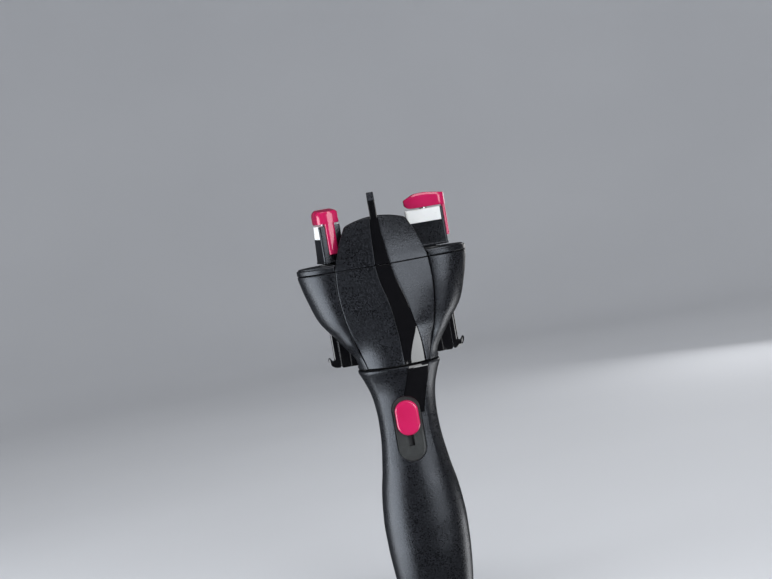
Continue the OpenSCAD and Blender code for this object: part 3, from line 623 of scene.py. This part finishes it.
for side, deg in (("front", 0), ("rear", 180)):
    finish_piece(turned(petal(f"{side}_petal_lower.skin", 0.5, 52.7, 56, False), deg), "head", BLACK,
                 [f"{side}_petal_lower"])
    finish_piece(turned(petal(f"{side}_petal_upper.skin", 52.97, 77.0, 28, True), deg), "head", BLACK,
                 [f"{side}_petal_upper"])
    finish_piece(turned(strip(f"{side}_gloss_strip.skin", 0.5, 52.7, 60), deg), "head", GLOSS,
                 [f"{side}_gloss_strip"], 12)

# divider: upper ends of both strips and the fin that they run into
def fin_ring(w, d, z, r, n=6):
    out = []
    for cx, cy, a0 in ((1, -1, -90), (1, 1, 0), (-1, 1, 90), (-1, -1, 180)):
        for i in range(n + 1):
            a = math.radians(a0 + 90.0 * i / n)
            out.append([cx * (w - r) + r * math.cos(a), cy * (d - r) + r * math.sin(a), z])
    return out


fin_d = pchip([[76.4, 17.3], [80, 16.9], [85.6, 16.2], [89.9, 14.6]])
rows = []
for z in list(np.linspace(76.5, 85.5, 14)) + [85.6]:
    rows.append(fin_ring(1.9, float(fin_d(z)), z, 0.4))
for t in (0.02, 0.25, 0.5, 0.75, 0.9):
    z = mix(85.6, 89.5, t)
    rows.append(fin_ring(mix(1.9, 1.8, t), float(fin_d(z)), z, 0.4))
for i in range(1, 6):
    a = math.radians(90.0 * i / 5)
    z, g = 89.5 + 0.4 * math.sin(a), 0.4 * (1 - math.cos(a))
    rows.append(fin_ring(1.8 - g, float(fin_d(z)) - g, z, max(0.06, 0.4 - g)))
fin = loft("divider_fin.skin", rows)
for deg, tag in ((0, "a"), (180, "b")):
    s = turned(strip("up" + tag, 52.97, 77.5, 34), deg)
    join(fin, s)
finish_piece(fin, "head", [GLOSS, FIN_TIP_PAINTED_LIGHT], ["divider_fin"], 20)
# Faces above the tip's edge take the satin cap, whose lighter colour is a painted highlight.
for p in fin.data.polygons:
    if p.center.z > (ZJ + 85.62) / 1000.0:
        p.material_index = 1


# ------------------------------------------------------------------------------------------------ head shells
def arc_pts(z, g, s, lip=0.3):
    p, e, w = float(pet(z)) + 0.35 - 0.8 * g, float(edge(z)) - 0.6 - g, float(wing(z)) - g
    b = float(soft1(z / 12.0))
    r = 21.15 - g
    a = math.degrees(math.acos(min(1.0, p / r)))
    span = max(0.6, w - p)
    fs = [90 - 0.0] + [math.degrees(math.acos(min(1.0, v / span))) for v in arc_steps(lip)[1:]]
    last = fs[-1]
    inner = list(np.linspace(last, 0, 30)[1:])
    half = fs + inner
    angles = [-v for v in half] + list(reversed(half))[1:]
    out = []
    for f in angles:
        fr = math.radians(f)
        c = 0.0 if abs(abs(f) - 90) < 1e-9 else math.cos(fr)
        x = mix(r * math.cos(math.radians(a * f / 90)), p + (w - p) * c, b)
        y = mix(r * math.sin(math.radians(a * f / 90)), e * math.sin(fr), b)
        d = float(drop((w - p) * c, lip))
        y -= math.copysign(d, y) if abs(f) > 45 else 0
        out.append([s * x, s * y, z])
    return out


def path_pts(z, g, zy):
    p = float(pet(z)) + 0.35 - 0.8 * g
    k = float(kx(zy)) / float(pet(zy))
    fs = list(np.linspace(-1, k, 14)) + list(np.linspace(k, 1, 8))[1:]
    return [[f * p, float(ys(f * float(pet(zy)), zy)) + 2.65 + 0.44 * g, z] for f in fs]


def head_ring(z, g, zy=None, zc=None):
    """Ring round the head at height z, g inside its outside; zc is the height that its shape is taken from."""
    zc = z if zc is None else zc
    zy = zc if zy is None else zy
    fr = path_pts(zc, g, zy)
    ring = arc_pts(zc, g, 1) + [[-x, -y, zz] for x, y, zz in fr] + arc_pts(zc, g, -1) + fr
    return [[x, y, z] for x, y, zz in ring]


rings = []
for s in arc_steps(0.35):
    rings.append(head_ring(0.3 + s, float(drop(s, 0.35))))
for z in np.linspace(0.65, 52.15, 58)[1:-1]:
    rings.append(head_ring(z, 0))
for s in reversed(arc_steps(0.45)):
    rings.append(head_ring(52.6 - s, float(drop(s, 0.45))))
for z in np.linspace(52.6, 0.3, 22):
    rings.append(head_ring(z, 2.2))
cup = loft("head_lower_cup.skin", rings, closed=True)
floor_ring = loft("t", [[[r * math.cos(2 * math.pi * i / 96), r * math.sin(2 * math.pi * i / 96), z] for i in range(96)]
                        for r, z in ((14.3, 0.35), (19.6, 0.35), (19.6, 2.8), (14.3, 2.8))], closed=True)
cut(floor_ring, loft("t", [head_ring(-1.0, 1.3, 2.8, 2.8), head_ring(4.0, 1.3, 2.8, 2.8)]), mode="INTERSECT")
join(cup, floor_ring)
for s in (-1, 1):
    t = prism("t", [(x, z) for x, z in ((19.4 * s, 1.6), (46 * s, 1.6), (46 * s, 25.2), (19.4 * s, 25.2))], -5.2, 5.2)
    cut(cup, soften(t, 0.6, 35, 3))
    join(cup, rod("t", 0, s * 17.2, 2.6, 22, 35.9, 40))
finish_piece(cup, "head", BLACK, ["head_lower_cup"])

rings = []
for s in arc_steps(0.35):
    rings.append(head_ring(52.95 + s, float(drop(s, 0.35)), 56.3, 53.0))
for z in (53.8, 54.3, 54.8):
    rings.append(head_ring(z, 0, 56.3, 53.0))
for s in reversed(arc_steps(0.55, 6)):
    rings.append(head_ring(55.55 - s, float(drop(s, 0.55)), 56.3, 53.0))
rings.append(head_ring(55.5, 0.85, 56.3, 53.0))
rings.append(head_ring(56.0, 0.9, 56.3, 53.0))
rings.append(head_ring(56.2, 1.1, 56.3, 53.0))
rings.append(head_ring(56.2, 2.0, 56.3, 53.0))
cover = loft("head_upper_cover.skin", rings)
core = []
for t in np.linspace(0, 1, 20):
    fr = []
    for f in np.linspace(-1, 1, 19):
        z = 70.0
        for _ in range(6):
            x = f * (float(pet(z)) - 0.3)
            z = mix(55.9, float(petal_top(x)) - 0.8, t)
        fr.append([x, float(ys(x, z)) + 2.65, z])
    core.append(fr + [[-x, -y, zz] for x, y, zz in fr])
core = loft("core", core)
for s in (-1, 1):
    cut(core, rod("t", 26 * s, 0, 12.6, 56.2, 90, 128))
soften(core, 0.35, 40, 3)
for s in (-1, 1):
    for o in (cover, core):
        cut(o, rod("t", 26 * s, 0, 5.0, 50, 58, 64))
both = bmesh.new()
both.from_mesh(cover.data)
both.from_mesh(core.data)
both.to_mesh(cover.data)
both.free()
bpy.data.objects.remove(core)
finish_piece(cover, "head", BLACK, ["head_upper_cover"])


# ------------------------------------------------------------------------------------------------ handle
def flare(name, outline, surf, r, deep, sign=-1, over=1.0):
    """Cutter for an opening whose lip is rounded by r. outline runs counter-clockwise in x and z; surf(x, z) is the depth
    of the surface that it goes through, and sign is the side that the surface faces."""
    o = np.array(outline, float)
    n = len(o)
    tang = np.roll(o, -1, 0) - np.roll(o, 1, 0)
    nrm = np.stack([tang[:, 1], -tang[:, 0]], -1)
    nrm /= np.linalg.norm(nrm, axis=1)[:, None]
    prof = [(0.0, deep), (0.0, r)]
    prof += [(r * (1 - math.cos(math.radians(a))), r * (1 - math.sin(math.radians(a)))) for a in (15, 30, 45, 60, 75)]
    prof += [(r * 0.94, r * 0.005), (r + 0.22, -0.12), (r + 0.3, -over)]
    rings = []
    for e, d in prof:
        p = o + nrm * e
        y = surf(p[:, 0], p[:, 1]) - sign * d
        rings.append(np.stack([p[:, 0], y, p[:, 1]], -1))
    return loft(name, rings)


def stadium(cx, w, z0, z1, n=28):
    r = w / 2
    pts = [(cx + r * math.cos(a), z1 - r + r * math.sin(a)) for a in np.linspace(0, math.pi, n)]
    zs = np.linspace(z1 - r, z0 + r, 18)[1:-1]
    pts += [(cx - r, z) for z in zs]
    pts += [(cx + r * math.cos(a), z0 + r + r * math.sin(a)) for a in np.linspace(math.pi, 2 * math.pi, n)]
    pts += [(cx + r, z) for z in reversed(zs)]
    return pts


WALL = 2.3
TOP_R = 0.8
hz = sorted(set([-130.0, -129.6, -129.0, -128.4, -127.8, -127.2, -126, -125] + list(np.linspace(-124, -28, 58))
                + list(np.linspace(-28, -1.3, 40)) + [-0.5 - s for s in arc_steps(TOP_R, 11)] + [-26.0, -25.85]))


def top_round(z):
    return drop(-0.5 - np.asarray(z, float), TOP_R)


def side_angles(c, z, n=18, seam=0.22):
    """Angles from the parting line to the fold at x = c, in degrees."""
    ac = math.degrees(math.acos(min(1.0, (c / float(hw(z))) ** (1 / 0.92))))
    first = [math.degrees(math.asin(min(1.0, ((0.03 + s) / float(hd(z))) ** (1 / 0.92)))) for s in arc_steps(seam)]
    return first + list(np.linspace(first[-1], ac, n)[1:])


def handle_half(name, front):
    f, b = [], []
    for z in hz:
        g = float(top_round(z))
        w, d = float(hw(z)), float(hd(z))
        cl, cr = (float(fold_l(z)), float(fold_r(z))) if front else (10.0 * w / 20, 10.0 * w / 20)
        row = []
        for a in side_angles(cl, z):
            row.append([-w * math.cos(math.radians(a)) ** 0.92, 0, None])
        if front:
            a0, a1 = float(inl(max(z, -26))), float(inr(max(z, -26)))
            chan = 1.0 if z > -25.9 else 0.0
            xs = [(v, 0) for v in np.linspace(-cl, a0, 20)[1:]] + [(v, chan) for v in np.linspace(a0 + 0.03, a1 - 0.03, 12)]
            xs += [(v, 0) for v in np.linspace(a1, cr, 5)[:-1]]
        else:
            xs = [(v, 0) for v in np.linspace(-cl, cr, 36)[1:-1]]
        row += [[x, c, True] for x, c in xs]
        for a in reversed(side_angles(cr, z)):
            row.append([w * math.cos(math.radians(a)) ** 0.92, 0, None])
        fr, br = [], []
        n_side = len(side_angles(cl, z))
        for i, (x, c, _) in enumerate(row):
            y = float(hfront(x, z)) if front else float(hy(x, z))
            s = abs(y) - 0.03
            seam = float(drop(max(0.0, s), 0.22)) if (i < n_side or i >= len(row) - n_side) else 0.0
            k = (w - g - seam) / w
            ky = (d - g) / d
            fr.append([x * k, min(-0.03, y * ky + c), z])
            if z < -127.25:
                br.append([x * 0.98, -0.03, z])
            else:
                xi = x * (w - WALL) / w
                br.append([xi, min(-0.03, float(hy(xi, z, WALL))), z])
        f.append(fr)
        b.append(br)
    o = slab(name, f, b)
    return o if front else turned(o, 180)


front_shell = handle_half("handle_front_shell.skin", True)
cut(front_shell, flare("t", stadium(-0.3, 14.4, -50, -16.1), hfront, 0.55, 8.0))
finish_piece(front_shell, "handle", BLACK, ["handle_front_shell"], 11)

rear_shell = handle_half("handle_rear_shell.skin", False)


def rounded_rect(x0, x1, z0, z1, r, n=6, m=14):
    pts = []
    for cx, cz, a0 in ((x1 - r, z1 - r, 0), (x0 + r, z1 - r, 90), (x0 + r, z0 + r, 180), (x1 - r, z0 + r, 270)):
        for i in range(n + 1):
            a = math.radians(a0 + 90.0 * i / n)
            pts.append((cx + r * math.cos(a), cz + r * math.sin(a)))
    out = []
    for i, p in enumerate(pts):
        q = pts[(i + 1) % len(pts)]
        out.append(p)
        if math.hypot(q[0] - p[0], q[1] - p[1]) > 3:
            out += [(mix(p[0], q[0], t), mix(p[1], q[1], t)) for t in np.linspace(0, 1, m)[1:-1]]
    return out


cut(rear_shell, flare("t", rounded_rect(-12.2, 12.2, -124.2, -71.8, 1.0), lambda x, z: -hy(x, z), 0.25, 8.0, 1))
for s in (-1, 1):
    ring = [(9 * s + 2.6 * math.cos(a), -62 + 2.6 * math.sin(a)) for a in np.linspace(0, 2 * math.pi, 41)[:-1]]
    cut(rear_shell, flare("t", ring, lambda x, z: -hy(x, z), 0.25, 6.0, 1))
finish_piece(rear_shell, "handle", BLACK, ["handle_rear_shell"])

# glossy inlay of the neck
IN_TOP, IN_R = -0.75, 2.4
zs = np.array([-25.7 + s for s in arc_steps(0.25, 4)] + list(np.linspace(-25.45, IN_TOP - IN_R, 34)[1:-1])
              + [IN_TOP - s for s in np.linspace(IN_R, 0, 14)])
fg, bg = [], []
for z in zs:
    x0, x1 = float(inl(z)) + 0.12, float(inr(z)) - 0.12
    xs = [x0 + s for s in arc_steps(0.25, 4)] + list(np.linspace(x0 + 0.25, x1 - 0.25, 22)[1:-1]) + [x1 - s for s in reversed(arc_steps(0.25, 4))]
    fr, br = [], []
    for x in xs:
        s1 = min(x - x0, x1 - x)
        y = float(hfront(x, z))
        fr.append([x, y + 0.1 + float(drop2(s1, z + 25.7, 0.25)) + 0.75 * max(0.0, 1 - (IN_TOP - z) / IN_R) ** 2, z])
        br.append([x, y + 1.25, z])
    fg.append(fr)
    bg.append(br)
inlay = slab("handle_gloss_inlay.skin", fg, bg)
cut(inlay, flare("t", stadium(-0.3, 14.4, -50, -16.1), hfront, 0.55, 8.0))
finish_piece(inlay, "handle", GLOSS, ["handle_gloss_inlay"], 20)

# recess of the switch
tray = loft("switch_tray.skin", [[[x, y, z] for x, z in stadium(-0.3, w, z0, z1)] for w, z0, z1, y in (
    (14.3, -49.95, -16.15, -13.4), (14.3, -49.95, -16.15, -14.2), (14.3, -49.95, -16.15, -14.6),
    (12.9, -49.25, -16.85, -14.6), (12.6, -49.1, -17.0, -14.45))])
cut(tray, soften(block("t", -1.9, 1.3, -16, -10, -42.2, -25), 0.3))
finish_piece(tray, "handle", TRAY, ["switch_tray"])


# slide switch button
def button():
    w, z0, z1 = 12.0, -36.4, -18.1
    cz, hl = (z0 + z1) / 2, (z1 - z0) / 2
    prof = [(0.0, -14.9), (0.0, -16.1), (0.02, -16.35), (0.10, -16.6), (0.55, -17.15), (0.70, -17.26), (0.9, -17.30)]
    rings = []
    for e, y in prof:
        o = stadium(-0.3, w - 2 * e, z0 + e, z1 - e, 26)
        rings.append([[x, y + 0.010 * (x + 0.3) ** 2, z] for x, z in o])
    # pressed top: rings that shrink to the middle line, with a shallow thumb hollow
    for t in (0.88, 0.76, 0.62, 0.48, 0.34, 0.2, 0.08):
        o = stadium(-0.3, (w - 1.8) * t, cz - hl * t - (1 - t) * 0 + 0.9 * t, cz + hl * t - 0.9 * t, 26)
        rings.append([[x, -17.32 + 0.010 * (x + 0.3) ** 2 + 0.16 * math.exp(-((z - cz) / 4.0) ** 2 - ((x + 0.3) / 4.0) ** 2), z]
                      for x, z in o])
    return loft("switch_button.skin", rings)


but = button()
join(but, block("t", -1.6, 1.0, -15.2, -11.9, -31, -26))
finish_piece(but, "switch", PINK, ["switch_button"], 40)

# battery cover with grip ribs
zs = sorted(set([-124 + s for s in arc_steps(0.3)] + list(np.linspace(-123.7, -92.5, 24)) + list(np.linspace(-92.5, -79.5, 66))
                + list(np.linspace(-79.5, -72.3, 8)) + [-72 - s for s in arc_steps(0.3)]))
fg, bg = [], []
for z in zs:
    xs = [-12 + s for s in arc_steps(0.3)] + list(np.linspace(-11.7, 11.7, 61)[1:-1]) + [12 - s for s in reversed(arc_steps(0.3))]
    fr, br = [], []
    for x in xs:
        y = -float(hy(x, z))
        s1, s2 = min(x + 12, 12 - x), min(z + 124, -72 - z)
        rib = 0.0
        for k in range(5):
            zc = -81.5 - 2 * k
            u = max(0.0, 1 - ((z - zc) / 0.6) ** 2)
            v = max(0.0, min(1.0, (5.2 - abs(x)) / 0.5))
            rib = max(rib, 0.42 * math.sqrt(u) * v)
        fr.append([-x, y - 0.02 - float(drop2(s1, s2, 0.3)) + rib, z])
        br.append([-x, y - 2.0, z])
    fg.append(fr)
    bg.append(br)
finish_piece(slab("battery_cover.skin", fg, bg), "battery_door", BLACK, ["battery_cover"])


# ------------------------------------------------------------------------------------------------ towers
def plan(g, n=7, z=58.5):
    """Outline of a tower seen from above, narrower towards its inner end and more so higher up; g is taken off all round."""
    l, w, m = 9.9 - g, 5.75 - g, 4.7 - 0.052 * (max(z, 58.5) - 58.5) - g
    r, q = 1.1 - g / 2, 1.6 - g / 2
    t = math.degrees(math.atan((w - m) / (2 * l - r - q)))
    out = []
    for cx, cy, cr, a0, a1 in ((l - r, w - r, r, 0, 90 + t), (q - l, m - q, q, 90 + t, 180),
                               (q - l, q - m, q, 180, 270 - t), (l - r, r - w, r, 270 - t, 360)):
        for i in range(n + 1):
            a = math.radians(mix(a0, a1, i / n))
            out.append((cx + cr * math.cos(a), cy + cr * math.sin(a)))
    return out


def around(g, z):
    return [[x, y, z] for x, y in plan(g, z=z)]


def round_ring(r, z):
    return [[r * math.cos(math.atan2(y, x)), r * math.sin(math.atan2(y, x)), z] for x, y in plan(0)]


def tower(name):
    rings = [round_ring(2.08, 33), round_ring(3.8, 33), round_ring(4, 33.3), round_ring(4, 57.3)]
    rings += [around(0.0, 57.3), around(-0.25, 57.5), around(-0.25, 58.15), around(-0.08, 58.42), around(0, 58.5), around(0, 58.8)]
    rings += [around(0, z) for z in (61, 64, 67, 69.5)]
    rings += [around(float(drop(s, 0.2)), 70 - s) for s in reversed(arc_steps(0.2, 3))]
    rings.append(round_ring(2.08, 70))
    o = loft(name, rings, closed=True)
    # end wall that carries the groove up beside the pad
    top = [around(0.0, z) for z in (69.0, 72, 75)] + [around(float(drop(s, 0.3)), 76.6 - s) for s in reversed(arc_steps(0.3, 4))]
    wall = cut(loft("t", top), block("t", 8.5, 14, -8, 8, 60, 80), mode="INTERSECT")
    join(o, wall)
    return cut(o, soften(block("t", 9.1, 14, -2.65, 2.65, 60.9, 84), 0.25))


def pad_piece(name):
    rings = [round_ring(2.3, 70.02), around(0.25, 70.02), around(0.15, 70.15)]
    rings += [around(0.15, z) for z in (72, 74, 76)]
    rings += [around(0.15 + float(drop(s, 0.7)), 77 - s) for s in reversed(arc_steps(0.7, 6))]
    rings.append(round_ring(2.3, 77))
    o = loft(name, rings, closed=True)
    return cut(o, block("t", 8.4, 14, -9, 9, 60, 82))


hook_w = pchip([[-9.7, 3.2], [-8.2, 3.9], [-4, 4.7], [1, 5.3], [5, 5.6], [8.0, 5.8], [9.2, 5.75]])
hook_top = pchip([[-9.7, 82.4], [-8.2, 83.1], [-4.6, 84.7], [-3.6, 84.98], [-1, 85.15], [1, 85.2], [6, 84.6], [11.7, 83.7]])
hook_bot = pchip([[-9.7, 79.6], [-8.2, 78.2], [-6.5, 77.7], [-4, 77.6], [6, 77.6], [11.7, 77.6]])


def end_width(x):
    """Half width of the hook's head, with its outer end round like a slice of a cylinder."""
    w = float(hook_w(x))
    if x <= 8.2:
        return w
    u = min(1.0, (x - 8.2) / 3.5)
    return max(0.8, 5.8 * math.sqrt(max(0.0, 1 - u ** 2)))


def hook_piece(name):
    """T-shaped hook: facetted head over the pad, stem down the end of the tower."""
    def section(x, shrink):
        w, lo, hi = end_width(x) - shrink, float(hook_bot(x)) + shrink, float(hook_top(x)) - shrink
        h = hi - lo
        c = min(1.25, 0.3 * h)
        k = min(1.0, w / 3.2)
        shape = [(-w + 0.45 * k, lo), (-w + 0.12 * k, lo + 0.12), (-w, lo + 0.45), (-w, hi - c - 0.25),
                 (-w + 0.10 * k, hi - c + 0.05), (-w + c * 0.85 * k, hi - 0.22), (-w + c * 1.15 * k, hi - 0.06),
                 (-w + c * 1.6 * k, hi)]
        return [[x, a, b] for a, b in shape] + [[x, 0, hi]] + [[x, -a, b] for a, b in reversed(shape)] + [[x, 0, lo]]
    xs = [(-9.7 + s, float(drop(s, 0.55))) for s in arc_steps(0.55, 5)]
    xs += [(x, 0.0) for x in np.linspace(-9.15, 8.2, 26)[1:]]
    xs += [(8.2 + 3.5 * math.sin(math.radians(a)), 0.0) for a in (9, 18, 27, 36, 45, 54, 63, 71, 78, 84)]
    xs.append((11.69, 0.12))
    o = loft(name, [section(x, g) for x, g in xs])
    # stem: bowed bar with soft edges
    outline = [(-1.0, 61.6), (0.0, 61.6), (1.0, 61.6), (1.0, 66), (1.0, 70), (1.0, 74), (1.0, 76), (1.03, 77.4), (1.08, 78.4)]
    outline += [(-x, z) for x, z in reversed(outline[3:])]
    rings = []
    for x, g in ((9.4, 0.0), (10.5, 0.0), (10.8, 0.08), (11.05, 0.25), (11.25, 0.55), (11.38, 0.95), (11.46, 1.4), (11.5, 1.9)):
        rings.append([[x, a * (2.45 - g), b + (0.35 * g if b < 62 else 0.0)] for a, b in outline])
    return join(o, loft("t", rings))


def round_end(name, s, x0, x1, h, r, n=8):
    """Upright cutter on the side s, square at x0 and rounded by r at its outer end x1."""
    a = [math.pi / 2 * i / n for i in range(n + 1)]
    o = [(x0, -h)] + [(x1 - r + r * math.sin(t), r - h - r * math.cos(t)) for t in a]
    o += [(x1 - r + r * math.sin(t), h - r + r * math.cos(t)) for t in reversed(a)] + [(x0, h)]
    return loft(name, [[[s * x, y, z] for x, y in o] for z in (-5.0, 40.0)])


for tag, s, deg in (("left", -1, -73), ("right", 1, 0)):
    def at(o):
        turned(o, deg)
        o.data.transform(Matrix.Translation((0.026 * s, 0, 0)))
        return o
    finish_piece(at(tower(f"tower_{tag}.skin")), f"twister_{tag}", BLACK, [f"tower_{tag}"])
    finish_piece(at(pad_piece(f"pad_{tag}.skin")), f"twister_{tag}", WHITE, [f"pad_{tag}"])
    finish_piece(at(hook_piece(f"hook_{tag}.skin")), f"hook_{tag}", PINK, [f"hook_{tag}"], 24)

    # housing of the lift rod, round at its outer corners
    h = prism("t", [(x * s, z) for x, z in ((19.6, 2.6), (28.6, 2.6), (29.5, 3.6), (29.5, 22), (19.6, 22))], -5, 5)
    h.name = f"stub_housing_{tag}.skin"
    cut(h, round_end("t", s, 19.0, 29.5, 5, 1.4), mode="INTERSECT")
    soften(h, 0.3, 50, 3)
    cut(h, rod("t", 26 * s, 0, 2.06, -2, 30, 48))
    for a in (-1, 1):
        x0, x1 = sorted((24 * s, 31 * s))
        y0, y1 = sorted((4.6 * a, 7 * a))
        cut(h, soften(block("t", x0, x1, y0, y1, 2, 24), 0.15))
    finish_piece(h, "head", GLOSS, [f"stub_housing_{tag}"], 30)

    # lever with its curled foot lip
    foot = [(29.8, 2.9), (31.2, 2.9), (32.2, 3.08), (33.0, 3.4), (33.9, 3.95), (34.6, 4.6), (35.15, 5.4), (35.5, 6.2),
            (35.75, 7.1), (35.8, 7.8), (35.3, 8.05), (34.8, 7.7), (34.5, 7.0), (34.0, 6.4), (33.5, 6.15), (33.0, 6.4),
            (32.6, 7.3), (29.8, 7.3)]
    bar = [(29.8, 7.2), (32.7, 7.2), (32.7, 24.5), (22.5, 24.5), (22.5, 22.6), (29.8, 22.6)]
    p = prism("t", [(x * s, z) for x, z in foot], -4.2, 4.2)
    p.name = f"pusher_{tag}.skin"
    cut(p, round_end("t", s, 20, 35.85, 4.2, 2.0), mode="INTERSECT")
    join(p, cut(prism("t", [(x * s, z) for x, z in bar], -4.2, 4.2), round_end("t", s, 20, 32.7, 4.2, 1.3), mode="INTERSECT"))
    soften(p, 0.3, 50, 3)
    cut(p, rod("t", 26 * s, 0, 2.4, 18, 30, 48))
    finish_piece(p, f"lever_{tag}", GLOSS, [f"pusher_{tag}"], 30)

# ------------------------------------------------------------------------------------------------ stage
def bowl():
    """Pale studio floor that curves up into a round wall."""
    prof = [(0.001, 0.0), (0.3, 0.0), (0.8, 0.0), (1.3, 0.0)]
    prof += [(1.3 + 0.9 * math.sin(a), 0.9 - 0.9 * math.cos(a)) for a in np.linspace(0, math.pi / 2, 24)[1:]]
    prof += [(2.2, 1.6), (2.2, 2.8)]
    n, h = 96, len(prof)
    v = [(r * math.cos(2 * math.pi * i / n), r * math.sin(2 * math.pi * i / n), z) for r, z in prof for i in range(n)]
    q = [(k * n + i, k * n + (i + 1) % n, (k + 1) * n + (i + 1) % n, (k + 1) * n + i) for k in range(h - 1) for i in range(n)]
    q.append(tuple(reversed(range(n))))
    me = bpy.data.meshes.new("backdrop")
    me.from_pydata(v, [], q)
    me.shade_smooth()
    o = bpy.data.objects.new("backdrop", me)
    scene.collection.objects.link(o)
    m, nt, b, co = new_material("backdrop")
    nt.links.new(blend2(nt, remap(nt, noise(nt, co, 3, 2), 0.3, 0.7, 0, 1), (0.60, 0.615, 0.645), (0.63, 0.645, 0.675)),
                 b.inputs["Base Color"])
    b.inputs["Roughness"].default_value = 0.8
    me.materials.append(m)
    o.visible_glossy = False
    o.visible_shadow = False


bowl()


def panel(name, az, el, dist, size, radiance, aim=(0, 0, 0.165), colour=(1, 1, 1), glossy=True):
    """Soft panel seen from the object at azimuth az (0 is the front, 90 the viewer's right) and elevation el."""
    a, e = math.radians(az), math.radians(el)
    at_ = Vector(aim) + dist * Vector((math.sin(a) * math.cos(e), -math.cos(a) * math.cos(e), math.sin(e)))
    d = bpy.data.lights.new(name, "AREA")
    d.shape, d.size, d.size_y = "RECTANGLE", size[0], size[1]
    d.energy, d.color = radiance * math.pi * size[0] * size[1], colour
    o = bpy.data.objects.new(name, d)
    scene.collection.objects.link(o)
    o.location = at_
    o.rotation_euler = (Vector(aim) - at_).to_track_quat("-Z", "Y").to_euler()
    o.visible_camera = False
    o.visible_glossy = glossy


panel("key", 37, 13, 0.95, (0.68, 0.80), 4.2, colour=(0.97, 0.985, 1.0))
panel("left", -77, -12, 0.60, (0.60, 0.54), 5.2, colour=(0.93, 0.965, 1.0))
panel("rim", 152, 3, 0.90, (0.30, 0.28), 2.2)
panel("rim_low", 118, -28, 0.50, (0.20, 0.22), 3.4, aim=(0, 0, 0.11))
panel("kicker", 61, -32, 0.040, (0.036, 0.018), 5.5, aim=(0.0105, -0.0195, 0.1410), colour=(0.95, 0.98, 1.0))
panel("fill", 0, 60, 1.3, (1.0, 1.0), 1.6, glossy=False)
panel("top", 0, 90, 1.9, (1.6, 1.6), 2.4)

world = bpy.data.worlds.new("world")
world.use_nodes = True
bg_node = world.node_tree.nodes["Background"]
bg_node.inputs[0].default_value = (0.80, 0.86, 1.0, 1)
bg_node.inputs[1].default_value = 0.04
scene.world = world
